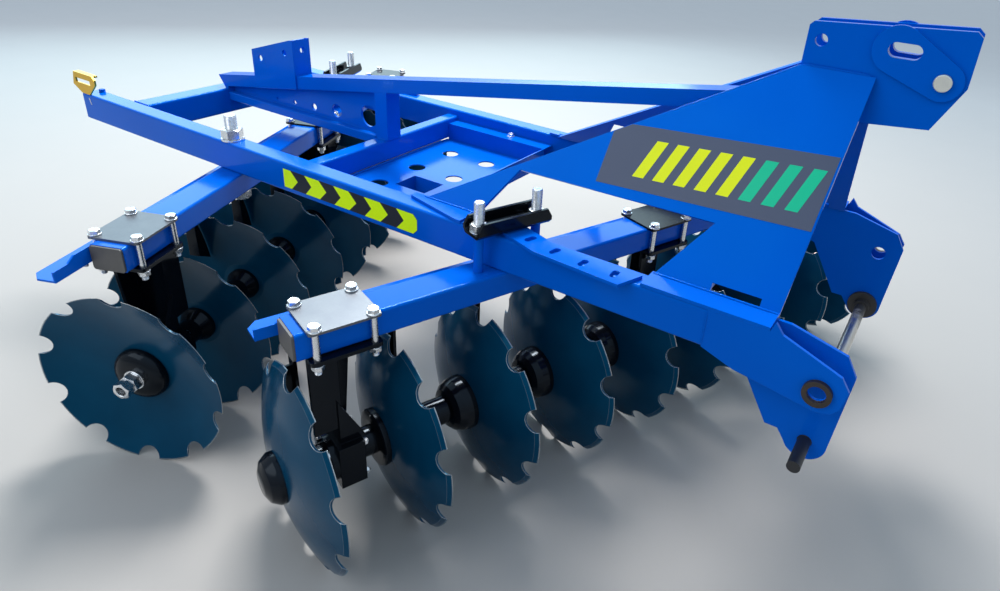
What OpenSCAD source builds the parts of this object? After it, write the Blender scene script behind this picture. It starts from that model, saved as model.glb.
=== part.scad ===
// Mounted offset disc harrow: a rectangular tube frame with a three-point headstock, and two disc
// gangs set as a V, each hung below the frame on a pivot bolt and an angle clamp.
// X is forward, towards the tractor, Y is the machine's left and Z is up. The origin lies on the
// ground below the middle of the machine's box. Places along X below are taken from the rails' rear
// ends and places along Y from the centre line, and placed() moves them to the origin.

/* [Frame] */
// Length of a side rail, from its rear end to the hitch plates
rail_len = 2270; // [2150:10:2400]
// Width of a side rail
rail_w = 60; // [50:1:70]
// Height of a side rail
rail_h = 90; // [80:1:100]
// Width over both side rails
frame_w = 800; // [760:5:840]
// Height of the rails' top faces above the ground
rail_top = 724; // [700:2:760]
// Corner radius of the square and rectangular tubes
tube_r = 7; // [3:1:10]
// Thickness of folded and welded plates
plate_t = 8; // [6:0.5:10]

/* [Cross members] */
// Front face of the rear cross tube, from the rails' rear ends
rear_tube_x = 278; // [230:2:300]
// Length of the rear cross tube along X
rear_tube_l = 75; // [60:1:90]
// Front face of the middle cross tube, from the rails' rear ends
mid_tube_x = 1052; // [1000:2:1100]
// Length of the middle cross tube along X
mid_tube_l = 48; // [40:1:60]
// Drop of the middle cross tube's top below the rails' tops
mid_tube_drop = 20; // [10:1:25]
// Front face of the front cross tube, behind the rails' front ends
front_tube_back = 62; // [40:2:90]

/* [Tray] */
// Length of the weight tray
tray_len = 400; // [360:5:430]
// Inner width of the weight tray
tray_w = 574; // [540:2:590]
// Depth of the weight tray, from ledge to floor
tray_depth = 62; // [50:1:68]
// Diameter of the holes in the tray floor
tray_hole_d = 54; // [40:1:70]
// Spacing of the floor holes along X
tray_hole_dx = 150; // [130:2:170]
// Spacing of the floor holes along Y
tray_hole_dy = 172; // [150:2:190]

/* [Spine and brace] */
// Width of the spine tube, the post and the top brace
spine_w = 60; // [50:1:70]
// Height of the spine tube
spine_h = 30; // [25:1:40]
// Height of the spine tube's underside above the ground
spine_z = 680; // [674:1:690]
// Length of the post along X
post_l = 50; // [40:1:60]
// Height of the top brace's section
brace_h = 42; // [36:1:50]
// Slope of the top brace in degrees
brace_slope = 9.3; // [8.5:0.1:10]
// Rear end of the top brace, from the rails' rear ends
brace_x = 231; // [215:1:250]

/* [Headstock] */
// Height of the top link plates' lower front corner above the rails
link_low = 354; // [340:2:370]
// Inner gap between the two top link plates
link_gap = 52; // [50:1:60]
// Thickness of a top link plate
link_t = 12; // [10:1:14]
// Diameter of the top link pin
link_pin_d = 25; // [22:0.5:28]
// Rear foot of a tower plate, behind the rails' front ends
tower_back = 800; // [780:2:830]
// Front foot of a tower plate, ahead of the rails' front ends
tower_ahead = 128; // [110:1:140]
// Height of a tower plate's top edge above the rails
tower_rise = 440; // [420:2:460]

/* [Lower hitch] */
// Height of the cross shaft's axis above the ground
shaft_z = 465; // [455:1:480]
// Cross shaft, ahead of the rails' front ends
shaft_ahead = 242; // [230:1:252]
// Diameter of the cross shaft
shaft_d = 30; // [26:1:36]
// Diameter of the cross shaft's pin ends
shaft_pin_d = 28; // [22:0.5:30]
// Length of one pin end, outside its hitch plate
shaft_pin_l = 92; // [80:1:110]
// Height of the upper hitch holes above the ground
hole_z = 628; // [620:1:636]
// Diameter of the upper hitch holes
hole_d = 37; // [30:0.5:40]

/* [Discs] */
// Diameter of a disc
disc_d = 510; // [480:5:530]
// Thickness of a disc
disc_t = 5; // [4:0.5:6]
// Radius of a disc's hollow face
dish_r = 600; // [560:10:700]
// Radius of the flat middle of a disc
flat_r = 68; // [60:1:75]
// Number of notches in a disc's rim
notches = 10; // [8:1:12]
// Radius of a notch
notch_r = 31; // [24:1:36]
// Discs on one gang
discs = 9; // [9:1:9]
// Spacing of the discs along a gang
pitch = 242; // [236:1:250]
// Side of the square gang axle
axle_a = 30; // [26:1:34]

/* [Gangs] */
// Angle of the front gang, from square to the line of travel
front_angle = 21.1; // [18:0.1:22]
// Angle of the rear gang, from square to the line of travel
rear_angle = 21.8; // [18:0.1:22]
// Where the front gang's axis crosses the centre line, behind the rails' front ends
front_back = 387; // [370:1:400]
// Where the rear gang's axis crosses the centre line, from the rails' rear ends
rear_x = 606; // [590:1:620]
// First disc of the front gang, from the centre line
front_first = -921; // [-930:1:-910]
// First disc of the rear gang, from the centre line
rear_first = -949; // [-960:1:-940]
// Width of a gang beam
beam_w = 90; // [80:1:100]
// Height of a gang beam
beam_h = 66; // [60:1:72]
// Middle of a gang beam, behind the axis of its gang
beam_back = 5; // [0:1:10]
// Free gap below the rails for the gang beams
seat_gap = 0.4; // [0.2:0.1:1]
// Running clearance on a radius, at the pivots and bearings
run_fit = 0.05; // [0.02:0.01:0.1]
// Clearance on a radius of bolts and bars in their holes
hole_fit = 0.3; // [0.2:0.1:1]
// Diameter of a gang's pivot bolt
pivot_d = 36; // [30:1:40]
// Angle between two slots of an angle strap
slot_step = 5.85; // [5:0.05:6]
// Shift of an angle clamp along its beam, from the middle of the rail towards the pivot
clamp_shift = 17; // [16:1:26]
// Spacing of the two studs of an angle clamp
clamp_bolts = 166; // [160:1:172]
// Diameter of the studs of an angle clamp
clamp_bolt_d = 24; // [20:1:26]

/* [Hangers] */
// Middle of a hanger's clamp plates, behind the axis of its gang
hanger_back = 7; // [5:1:9]
// Length of a hanger's clamp plates along the beam
hanger_l = 160; // [150:1:170]
// Width of a hanger's clamp plates across the beam
hanger_w = 136; // [132:1:144]
// Thickness of a hanger's upper clamp plate
hanger_t = 6; // [5:0.5:10]
// Thickness of a hanger's lower clamp plate
seat_t = 10; // [8:0.5:14]
// Offset of the clamp plates from the bearing, along the beam
hanger_offset = 18; // [14:1:22]
// Diameter of a hanger's bolts
hanger_bolt_d = 16; // [12:1:18]
// Outer size of a bearing housing across the axle
housing_a = 116; // [106:1:124]
// Length of a bearing housing along the axle
housing_l = 62; // [56:1:68]
// Middle of a bearing housing, from halfway between two discs towards the hollow face
housing_shift = 26; // [20:1:30]
// Radius of a spool's neck
neck_r = 36; // [32:1:40]
// Radius of a spool's bell
bell_r = 72; // [62:1:76]

/* [Hidden] */
$fn = 48;

blue = "#0b50c8";
black = "#15171a";
zinc = "#c9ccd0";
steel = "#8d9298";
disc_blue = "#17405c";
amber = "#f0a51e";

rail_y = frame_w / 2 - rail_w / 2;
rail_in = frame_w / 2 - rail_w;
rail_bot = rail_top - rail_h;
disc_r = disc_d / 2;
notch_half = 2 * asin(notch_r / disc_d);
axle_z = disc_r * cos(notch_half);
e = 0.5;

beam_top = rail_bot - seat_gap;
beam_bot = beam_top - beam_h;
strap_w = 66;
strap_top = rail_top + plate_t;

// One gang: angle, place of its axis, first disc's rim, hanger bays, side of its pivot
FRONT = [front_angle, rail_len - front_back, front_first, [0, 4, 7], 1];
REAR = [rear_angle, rear_x, rear_first, [0, 3, 7], -1];
function pivot_t(g) = rail_y / cos(g[0]);
function pivot_x(g) = g[1] + pivot_t(g) * sin(g[0]);
function clamp_t(g) = clamp_shift - pivot_t(g);
function slot_radius(g) = pivot_t(g) - clamp_t(g) - slot_in;
function rim_t(g, i) = g[2] + i * pitch;
function hanger_t(g, k) = rim_t(g, k) + pitch / 2;

// Depth of the dish, from its rim to its flat middle
function sag(r) = dish_r - sqrt(dish_r * dish_r - r * r);
dish_depth = sag(disc_r) - sag(flat_r);

// Slotted strap and clamp channel
slots = 5;
slot_w = 16;
slot_l = 34;
slot_in = 6;
strap_lead = 5;
strap_tail = 1.7;
strap_nose = 4.1;
channel_w = 70;
channel_h = 40;
channel_end = 22;
channel_cut = 12;
channel_fold = 10;
clamp_top = strap_top + seat_gap + channel_h + 42;

// Scraper bars and lamp holder, where they reach past the discs and the rails
bar_w = 70;
bar_cut = 22;
bar_tail = 77;
lamp_over = 44;

// Brace and spine, as heights above the ground
spine_top = spine_z + spine_h;
brace_rise = tan(brace_slope);
brace_v = brace_h / cos(brace_slope);
function brace_bot(x) = rail_top + brace_rise * (x - brace_x);
function brace_top(x) = brace_bot(x) + brace_v;

// Headstock
link_y = link_gap / 2 + link_t / 2;
link_out = link_gap / 2 + link_t;
tower_lean = atan2(rail_in - link_out - 1.2 * plate_t, tower_rise);
tower_l = tower_rise / cos(tower_lean);
tower_x0 = rail_len - tower_back;
tower_x1 = rail_len + tower_ahead;
tower_top_x = tower_x0 + 798;
foot_lap = 6;
tower_nose_x = tower_x1 + 25;
link_z = rail_top + link_low;
link_reach = 320;
link_nose_x = tower_top_x + link_reach;
pin_x = tower_nose_x + 120;
pin_z = link_z + 98;

// Lower hitch
lobe_r = 45;
shaft_x = rail_len + shaft_ahead;
collar_d = 78;

// A node, moved from the rails' rear ends and the centre line to the origin
module placed() translate([-mid_x, -mid_y, 0]) children();

// The origin, halfway along the machine's box and across the reach of its discs and scraper bars
function disc_reach(g) = rim_t(g, discs - 1) * cos(g[0]) + disc_r * sin(g[0]);
function bar_reach(g) = bar_t1(g) * cos(g[0]) + (beam_w / 2 + beam_back + bar_w - bar_cut) * sin(g[0]);
function reach(g) = max(disc_reach(g), bar_reach(g));
mid_x = (link_nose_x - lamp_over) / 2;
mid_y = (reach(FRONT) - reach(REAR)) / 2;

// Rounded rectangle about the origin
module rounded(w, h, r) {
    square([w - 2 * r, h], center = true);
    square([w, h - 2 * r], center = true);
    for (x = [-1, 1], y = [-1, 1])
        translate([x * (w / 2 - r), y * (h / 2 - r)]) circle(r);
}

// Tube along X, from x = 0, centred in Y and Z
module bar_x(length, w, h, r = tube_r)
    rotate([90, 0, 90]) linear_extrude(length) rounded(w, h, r);

// Tube along Y, centred on the origin
module bar_y(length, w, h, r = tube_r)
    translate([0, length / 2, 0]) rotate([90, 0, 0]) linear_extrude(length) rounded(w, h, r);

// Plate in the XZ plane, centred in Y, from a drawing of x and z
module plate_xz(t) translate([0, t / 2, 0]) rotate([90, 0, 0]) linear_extrude(t) children();

// Plate in the YZ plane, centred in X, from a drawing of y and z
module plate_yz(t) translate([-t / 2, 0, 0]) rotate([90, 0, 90]) linear_extrude(t) children();

// Stadium between two points with its own radius at each end
module link_shape(a, b, ra, rb)
    hull() {
        translate(a) circle(ra, $fn = 32);
        translate(b) circle(rb, $fn = 32);
    }

// Slot along the drawing's y axis
module slot_shape(w, l) {
    square([w, l - w], center = true);
    for (s = [-1, 1]) translate([0, s * (l - w) / 2]) circle(w / 2);
}

// Hexagon nut or bolt head, from z = 0
module hex(af, h) cylinder(h = h, d = af / cos(30), $fn = 6);

// Side rail along the machine, bored for the pivot bolt that it carries
module rail(side, g) {
    difference() {
        translate([0, side * rail_y, rail_top - rail_h / 2]) bar_x(rail_len, rail_w, rail_h);
        translate([pivot_x(g), side * rail_y, rail_bot - e])
            cylinder(h = rail_h + 2 * e, d = pivot_d + 2 * hole_fit);
    }
}

module near_rail() color(blue) placed() rail(-1, REAR);
module far_rail() color(blue) placed() rail(1, FRONT);

module rear_cross_tube() color(blue) placed()
    translate([rear_tube_x - rear_tube_l / 2, 0, rail_top - rail_h / 2])
        bar_y(2 * rail_in, rear_tube_l, rail_h);

module middle_cross_tube() color(blue) placed()
    translate([mid_tube_x - mid_tube_l / 2, 0, rail_top - mid_tube_drop - (rail_h - mid_tube_drop) / 2])
        bar_y(2 * rail_in, mid_tube_l, rail_h - mid_tube_drop);

module front_cross_tube() color(blue) placed()
    translate([rail_len - front_tube_back - mid_tube_l / 2, 0, rail_top - rail_h / 2])
        bar_y(2 * rail_in, mid_tube_l, rail_h);

// Folded tray between the rails, with ledges that rest against them
tray_top = rail_top - 36;
tray_t = 4;
module weight_tray() color(blue) placed()
    difference() {
        translate([mid_tube_x, 0, 0]) {
            translate([0, -rail_in, tray_top - tray_t]) cube([tray_len, 2 * rail_in, tray_t]);
            translate([0, -tray_w / 2 - tray_t, tray_top - tray_depth])
                cube([tray_len, tray_w + 2 * tray_t, tray_depth]);
        }
        translate([mid_tube_x - e, -tray_w / 2, tray_top - tray_depth + tray_t])
            cube([tray_len + e - tray_t, tray_w, tray_depth + e]);
        translate([mid_tube_x + tray_len / 4, 0, tray_top - tray_depth - e])
            for (i = [0, 1], j = [-1, 0, 1])
                if (i == 0 || j > -1)
                    translate([i * tray_hole_dx, j * tray_hole_dy, 0])
                        cylinder(h = tray_t + 2 * e, d = tray_hole_d);
        translate([mid_tube_x + 143, -148, tray_top - tray_depth - e])
            cube([113, 89, tray_t + 2 * e]);
    }

module spine_tube() color(blue) placed()
    translate([rear_tube_x, 0, spine_z + spine_h / 2])
        bar_x(mid_tube_x - mid_tube_l - rear_tube_x, spine_w, spine_h, 4);

// Upright web between the spine tube and the brace, with holes that grow towards the front
post_x = mid_tube_x - post_l + 6;
web_holes = [[512, 5], [600, 8], [698, 12], [807, 22], [955, 35]];
module spine_web() color(blue) placed()
    plate_xz(plate_t)
        difference() {
            polygon([
                [rear_tube_x, spine_top],
                [post_x, spine_top],
                [post_x, brace_bot(post_x)],
                [rear_tube_x, brace_bot(rear_tube_x)]
            ]);
            for (h = web_holes)
                translate([h[0], spine_top + 13 + h[1]]) circle(h[1]);
        }

module brace_post() color(blue) placed()
    translate([post_x, 0, 0])
        plate_xz(spine_w)
            polygon([
                [0, rail_top - mid_tube_drop], [post_l, rail_top - mid_tube_drop],
                [post_l, brace_bot(post_x + post_l)], [0, brace_bot(post_x)]
            ]);

// Long brace from the rear cross tube up to the top link plates
module top_brace() color(blue) placed()
    plate_xz(spine_w)
        polygon([
            [brace_x + 31, rail_top],
            [rear_tube_x, rail_top],
            [rear_tube_x, brace_bot(rear_tube_x)],
            [tower_top_x, brace_bot(tower_top_x)],
            [tower_top_x, brace_top(tower_top_x)],
            [brace_x, brace_top(brace_x)]
        ]);

// Folded bracket over the rear of the brace
bracket_x0 = 444;
bracket_x1 = 654;
bracket_t = 6;
bracket_hole = 42;
module rear_bracket() color(blue) placed() {
    for (side = [-1, 1])
        translate([0, side * (spine_w / 2 + bracket_t / 2), 0])
            plate_xz(bracket_t)
                difference() {
                    polygon([
                        [bracket_x0, brace_bot(bracket_x0)],
                        [bracket_x1, brace_bot(bracket_x1)],
                        [bracket_x1, rail_top + 231],
                        [bracket_x1 - 16, rail_top + 229],
                        [bracket_x0, rail_top + 170]
                    ]);
                    translate([bracket_x0 + bracket_hole, rail_top + 146]) circle(10);
                    translate([bracket_x1 - bracket_hole, rail_top + 184]) circle(10);
                }
    translate([bracket_x1 - bracket_t / 2, 0, 0])
        plate_yz(bracket_t)
            difference() {
                polygon([
                    [-spine_w / 2, brace_top(bracket_x1)], [spine_w / 2, brace_top(bracket_x1)],
                    [spine_w / 2, rail_top + 220], [spine_w / 2 - 12, rail_top + 231],
                    [-spine_w / 2, rail_top + 231]
                ]);
                translate([5, rail_top + 196]) circle(10);
            }
}

// Leaning side plate of the headstock, drawn in its own plane with a foot on the rail
module tower_outline()
    difference() {
        polygon([
            [tower_x0, 0], [tower_x1, 0], [tower_nose_x, tower_l], [tower_top_x, tower_l]
        ]);
        polygon([
            [tower_x0 + 168, -e], [tower_x0 + 242, 142], [tower_x1 - 186, 150], [tower_x1 - 280, -e]
        ]);
        translate([tower_x1 - 148, -e]) square([106, 27]);
    }

// Feet of a tower plate on its rail: a tapered one behind the window and a square one ahead of it
module tower_feet()
    linear_extrude(plate_t) {
        polygon([
            [tower_x0 - 27, -foot_lap], [tower_x0 - 27, 16], [tower_x0 + 151, rail_w],
            [tower_x0 + 166, rail_w], [tower_x0 + 166, -foot_lap]
        ]);
        translate([tower_x1 - 280, -foot_lap]) square([280, rail_w + foot_lap]);
    }

module tower_plate(side)
    mirror([0, side > 0 ? 1 : 0, 0]) {
        difference() {
            translate([0, -rail_in, rail_top])
                rotate([90 - tower_lean, 0, 0])
                    translate([0, 0, -plate_t]) linear_extrude(plate_t) tower_outline();
            translate([tower_x0 - e, -rail_in - e, rail_top - 2 * plate_t])
                cube([tower_x1 - tower_x0 + 2 * e, 3 * plate_t, 2 * plate_t]);
        }
        translate([0, -rail_in, rail_top]) mirror([0, 1, 0]) tower_feet();
    }

module near_tower_plate() color(blue) placed() tower_plate(-1);
module far_tower_plate() color(blue) placed() tower_plate(1);

// Pair of upright plates for the top link, with a slot, a spare hole and the pin's doubler
module link_outline()
    polygon([
        [tower_top_x, brace_bot(tower_top_x)], [tower_top_x, link_z + 168],
        [tower_top_x + 8, link_z + 176],
        [link_nose_x - 14, link_z + 198], [link_nose_x - 2, link_z + 188],
        [link_nose_x, pin_z - 6], [link_nose_x - 43, link_z],
        [tower_nose_x, link_z - 12]
    ]);

slot_x = pin_x - 82;
slot_z = pin_z + 47;
spare_x = tower_top_x + 30;
spare_z = pin_z + 42;
module top_link_plates() color(blue) placed()
    for (side = [-1, 1])
        translate([0, side * link_y, 0]) {
            plate_xz(link_t)
                difference() {
                    link_outline();
                    translate([spare_x, spare_z]) circle(d = link_pin_d + 1);
                    translate([slot_x, slot_z]) rotate(90) slot_shape(30, 64);
                    translate([pin_x, pin_z]) circle(link_pin_d / 2 + hole_fit);
                }
            translate([0, side * (link_t / 2 + 4), 0])
                plate_xz(8)
                    difference() {
                        link_shape([slot_x - 14, slot_z], [pin_x, pin_z], 48, 38);
                        translate([slot_x, slot_z]) rotate(90) slot_shape(30, 64);
                        translate([pin_x, pin_z]) circle(link_pin_d / 2 + hole_fit);
                    }
        }

module top_link_pin() color(zinc) placed()
    translate([pin_x, 0, pin_z])
        rotate([90, 0, 0]) {
            cylinder(h = 2 * link_out + 40, d = link_pin_d, center = true);
            translate([0, 0, link_out + 8]) cylinder(h = 8, d = 36);
            translate([0, 0, -link_out - 16]) cylinder(h = 8, d = 36);
        }

// Hitch plates: a long outer one and an inner one that drops to the cross shaft
module outer_hitch_outline()
    polygon([
        [rail_len, rail_bot], [rail_len, rail_top], [tower_x1, rail_top],
        [tower_x1 + 8, rail_top + 22], [tower_x1 + 26, rail_top],
        [shaft_x + 35, rail_top - 47], [shaft_x + 54, rail_top - 74], [shaft_x + 47, rail_top - 118],
        [shaft_x + 33, rail_top - 135], [shaft_x + 6, rail_top - 142], [rail_len + 73, rail_bot - 26]
    ]);

module inner_hitch_outline() {
    polygon([
        [rail_len, rail_bot], [rail_len, rail_top], [tower_x1, rail_top],
        [tower_x1 + 30, rail_top], [shaft_x + 32, rail_top - 29], [shaft_x + 57, rail_top - 70],
        [shaft_x + lobe_r, shaft_z], [shaft_x, shaft_z], [shaft_x - 30, shaft_z - 34],
        [shaft_x - 59, shaft_z + 6], [shaft_x - 87, shaft_z + 6],
        [rail_len + 73, rail_bot - 26]
    ]);
    translate([shaft_x, shaft_z]) circle(lobe_r);
}

module hitch_plates(side)
    mirror([0, side > 0 ? 1 : 0, 0]) {
        translate([0, -frame_w / 2 + plate_t / 2, 0])
            plate_xz(plate_t)
                difference() {
                    outer_hitch_outline();
                    translate([shaft_x, hole_z]) circle(d = hole_d);
                }
        translate([0, -rail_in - plate_t / 2, 0])
            plate_xz(plate_t)
                difference() {
                    inner_hitch_outline();
                    translate([shaft_x, hole_z]) circle(d = hole_d);
                    translate([shaft_x, shaft_z]) circle(shaft_d / 2 + hole_fit);
                }
        translate([rail_len, -frame_w / 2 + plate_t, rail_top - plate_t])
            cube([tower_x1 - rail_len, rail_w - 2 * plate_t, plate_t]);
        translate([rail_len, -frame_w / 2 + plate_t, rail_bot])
            cube([plate_t, rail_w - 2 * plate_t, rail_h - plate_t]);
    }

module near_hitch_plates() color(blue) placed() hitch_plates(-1);
module far_hitch_plates() color(blue) placed() hitch_plates(1);

// Bushes welded round the upper hitch holes
module hitch_bushes() color(black) placed()
    for (side = [-1, 1])
        translate([shaft_x, side * (frame_w / 2 + 5), hole_z])
            rotate([90, 0, 0])
                difference() {
                    cylinder(h = 10, d = 58, center = true);
                    cylinder(h = 10 + 2 * e, d = hole_d, center = true);
                }

// Cross shaft between the inner hitch plates, with collars and thinner pin ends
module cross_shaft() color(zinc) placed()
    translate([shaft_x, 0, shaft_z])
        rotate([90, 0, 0]) {
            cylinder(h = 2 * (rail_in + plate_t), d = shaft_d, center = true);
            cylinder(h = 2 * (rail_in + plate_t + shaft_pin_l), d = shaft_pin_d, center = true);
            for (side = [0, 1])
                mirror([0, 0, side]) {
                    translate([0, 0, rail_in - 10]) cylinder(h = 10, d = collar_d);
                    translate([0, 0, rail_in - 30]) cylinder(h = 25, d = shaft_d + 12);
                }
        }

// Slotted strap about the far pivot, drawn on the rail's top
module strap(g)
    translate([pivot_x(g), g[4] * rail_y, rail_top])
        mirror([0, g[4] > 0 ? 0 : 1, 0])
            linear_extrude(plate_t)
                difference() {
                    rotate(-90 - g[0]) strap_outline(slot_radius(g));
                    for (i = [0 : slots - 1])
                        rotate(-90 - g[0] + i * slot_step)
                            translate([slot_radius(g), 0]) rotate(90) slot_shape(slot_w, slot_l);
                }

// Strap bent once in the middle, with a slanted front end, about the origin and from the x axis
module strap_outline(radius) {
    sweep = (slots - 1) * slot_step;
    bend = (sweep - strap_lead) / 2;
    flat = cos((sweep + strap_lead) / 4);
    outer = (radius + strap_w / 2) / flat;
    inner = (radius - strap_w / 2) / flat;
    polygon([
        outer * [cos(strap_lead), -sin(strap_lead)],
        outer * [cos(bend), sin(bend)],
        outer * [cos(sweep + strap_tail), sin(sweep + strap_tail)],
        inner * [cos(sweep + strap_nose), sin(sweep + strap_nose)],
        inner * [cos(bend), sin(bend)],
        inner * [cos(strap_lead), -sin(strap_lead)]
    ]);
}

module angle_straps() color(blue) placed() {
    strap(FRONT);
    strap(REAR);
}

// Pressed holder for a lamp plate, on the outer edge of the near rail's rear end
lamp_l = 92;
lamp_h = 69;
lamp_t = 6;
lamp_lip = 14;
module lamp_brackets() color(amber) placed()
    translate([0, -frame_w / 2, rail_top]) {
        translate([0, lamp_t / 2, 0])
            plate_xz(lamp_t)
                difference() {
                    polygon([
                        [0, 0], [lamp_l / 2, 0], [lamp_l, lamp_h - 29], [lamp_l, lamp_h - 12],
                        [lamp_l - 12, lamp_h], [14 - lamp_over, lamp_h], [-lamp_over, 24]
                    ]);
                    translate([20 - lamp_over, lamp_h / 2]) square([lamp_l - 6, 15]);
                }
        translate([14 - lamp_over, lamp_t, lamp_h - lamp_t])
            cube([lamp_l - 26 + lamp_over, lamp_lip, lamp_t]);
    }

// Pivot bolts: head below the beam, washer and nut on the rail
module pivot_bolt(g)
    translate([pivot_x(g), g[4] * rail_y, 0]) {
        translate([0, 0, beam_bot - 8 - 23]) hex(55, 23);
        translate([0, 0, beam_bot - 8]) cylinder(h = rail_top + 76 - beam_bot + 8, d = pivot_d);
        translate([0, 0, rail_top]) cylinder(h = 6, d = 66);
        translate([0, 0, rail_top + 6]) hex(55, 29);
    }

module pivot_bolts() color(zinc) placed() {
    pivot_bolt(FRONT);
    pivot_bolt(REAR);
}

// Frame of one gang: its axis along +Y, towards the hollow faces, and +X forward
module gang(g)
    translate([g[1], 0, 0])
        rotate([0, 0, -g[4] * g[0]])
            mirror([0, g[4] > 0 ? 0 : 1, 0]) children();

module at_studs(g)
    for (s = [-1, 1]) translate([0, clamp_t(g) + s * clamp_bolts / 2, 0]) children();

plate_overhang = 22;
function beam_t0(g) = hanger_t(g, g[3][0]) - hanger_offset - hanger_l / 2 - plate_overhang;
function beam_t1(g) = hanger_t(g, g[3][2]) - hanger_offset + hanger_l / 2 + plate_overhang;

// Flat tube of a beam, or a plate of its section, from t0 to t1 along it
module beam_bar(t0, t1, w, h)
    translate([-beam_back, (t0 + t1) / 2, beam_top - beam_h / 2]) bar_y(t1 - t0, w, h);

// Beam with its pivot hole and the two studs of its angle clamp, which stand on its top
module gang_beam(g) color(blue) placed()
    gang(g)
        difference() {
            union() {
                beam_bar(beam_t0(g), beam_t1(g), beam_w, beam_h);
                at_studs(g)
                    translate([0, 0, beam_top - tube_r])
                        cylinder(h = clamp_top - beam_top + tube_r, d = clamp_bolt_d);
            }
            translate([0, pivot_t(g), beam_bot - e])
                cylinder(h = beam_h + 2 * e, r = pivot_d / 2 + run_fit);
        }

cap_t = 6;
cap_in = 3;
module end_caps(g) color("#4a433c") placed()
    gang(g) {
        beam_bar(beam_t0(g) - cap_t, beam_t0(g), beam_w - 2 * cap_in, beam_h - cap_in);
        beam_bar(beam_t1(g), beam_t1(g) + cap_t, beam_w - 2 * cap_in, beam_h - cap_in);
    }

module at_hangers(g)
    for (k = g[3]) translate([0, hanger_t(g, k), 0]) children();

bolt_n = hanger_w / 2 - 11.5;
bolt_t = hanger_l / 2 - 16;
module at_hanger_bolts()
    for (x = [-1, 1], y = [-1, 1])
        translate([x * bolt_n - hanger_back, -hanger_offset + y * bolt_t, 0]) children();

hanger_corner = 8;
module hanger_plate(z, t)
    translate([-hanger_back, -hanger_offset, z])
        linear_extrude(t) rounded(hanger_w, hanger_l, hanger_corner);

module clamp_plates(g) color(steel) placed()
    gang(g) at_hangers(g)
        difference() {
            hanger_plate(beam_top, hanger_t);
            at_hanger_bolts()
                translate([0, 0, beam_top - e])
                    cylinder(h = hanger_t + 2 * e, r = hanger_bolt_d / 2 + hole_fit);
        }

bolt_tail = 26;
module hanger_bolts(g) color(zinc) placed()
    gang(g) at_hangers(g) at_hanger_bolts() {
        translate([0, 0, leg_top - bolt_tail])
            cylinder(h = bolt_tail + seat_t + beam_h + hanger_t, d = hanger_bolt_d);
        translate([0, 0, beam_top + hanger_t]) cylinder(h = 3, d = 30);
        translate([0, 0, beam_top + hanger_t + 3]) hex(24, 10);
        translate([0, 0, leg_top - 14]) hex(24, 14);
    }

// Hanger in one weldment: plate under the beam, a leg folded as a Z, gusset, bearing housing and flange
leg_top = beam_bot - seat_t;
leg_t = 10;
leg_n = 25;
web_t = -45;
flange_t = -99;
flange_z = 355;
rear_plate_t = 28;
gusset_t = 16;
gusset_h = 122;
housing_top = axle_z + housing_a / 2;
housing_t0 = -housing_shift - housing_l / 2;
housing_t1 = -housing_shift + housing_l / 2;
seal_t = 15;
module hanger()
    difference() {
        union() {
            hanger_plate(leg_top, seat_t);
            translate([leg_n, flange_t, flange_z]) cube([leg_t, web_t - flange_t + leg_t, leg_top - flange_z]);
            translate([leg_n, web_t, housing_top]) cube([leg_t, leg_t, flange_z - housing_top]);
            translate([-housing_a / 2, web_t, housing_top - leg_t])
                cube([housing_a / 2 + leg_n, leg_t, leg_top - housing_top + leg_t]);
            translate([-housing_a / 2, 0, 0])
                rotate([90, 0, 90])
                    linear_extrude(leg_t)
                        polygon([
                            [web_t + leg_t, housing_top], [housing_t1, housing_top],
                            [rear_plate_t, leg_top], [web_t + leg_t, leg_top]
                        ]);
            translate([-housing_a / 2, housing_t0, axle_z - housing_a / 2])
                cube([housing_a, housing_l, housing_a]);
            translate([0, housing_t0 - seal_t, axle_z])
                rotate([-90, 0, 0]) cylinder(h = seal_t, r = housing_a / 2);
            translate([leg_n + leg_t / 2, 0, 0])
                rotate([90, 0, 90])
                    linear_extrude(leg_t)
                        polygon([
                            [web_t, housing_top], [gusset_t, housing_top], [web_t, housing_top + gusset_h]
                        ]);
        }
        translate([0, housing_t0 - housing_l, axle_z])
            rotate([-90, 0, 0]) cylinder(h = 3 * housing_l, r = neck_r + run_fit);
        at_hanger_bolts()
            translate([0, 0, leg_top - e])
                cylinder(h = seat_t + 2 * e, r = hanger_bolt_d / 2 + hole_fit);
    }

module hangers(g) color(black) placed()
    gang(g) at_hangers(g) hanger();

// Angle bar that carries the scrapers: its upright leg stands against the rear face of the beam
bar_h = 40;
bar_t = 5;
bar_z = beam_bot + 20;
bar_lead = 53;
bar_drop = 12;
function bar_t0(g) = rim_t(g, 0) - bar_lead;
function bar_t1(g) = rim_t(g, discs - 1) + bar_tail;
module scraper_bar(g) color(blue) placed()
    gang(g)
        difference() {
            translate([-beam_w / 2 - beam_back, 0, bar_z]) {
                linear_extrude(bar_t)
                    polygon([
                        [0, bar_t0(g)], [bar_cut - bar_w, bar_t0(g)], [-bar_w, bar_t0(g) + bar_cut],
                        [-bar_w, bar_t1(g) - bar_cut], [bar_cut - bar_w, bar_t1(g)], [0, bar_t1(g)]
                    ]);
                translate([-bar_t, 0, 0])
                    rotate([90, 0, 90])
                        linear_extrude(bar_t)
                            polygon([
                                [bar_t0(g), 0], [bar_t1(g), 0], [bar_t1(g), bar_h - bar_drop],
                                [bar_t1(g) - 2 * bar_cut, bar_h - bar_drop],
                                [bar_t1(g) - 3 * bar_cut, bar_h], [bar_t0(g) + 3 * bar_cut, bar_h],
                                [bar_t0(g) + 2 * bar_cut, bar_h - bar_drop], [bar_t0(g), bar_h - bar_drop]
                            ]);
            }
            at_hangers(g) at_hanger_bolts()
                translate([0, 0, bar_z - e])
                    cylinder(h = bar_h + 2 * e, r = hanger_bolt_d / 2 + hole_fit);
        }

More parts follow.
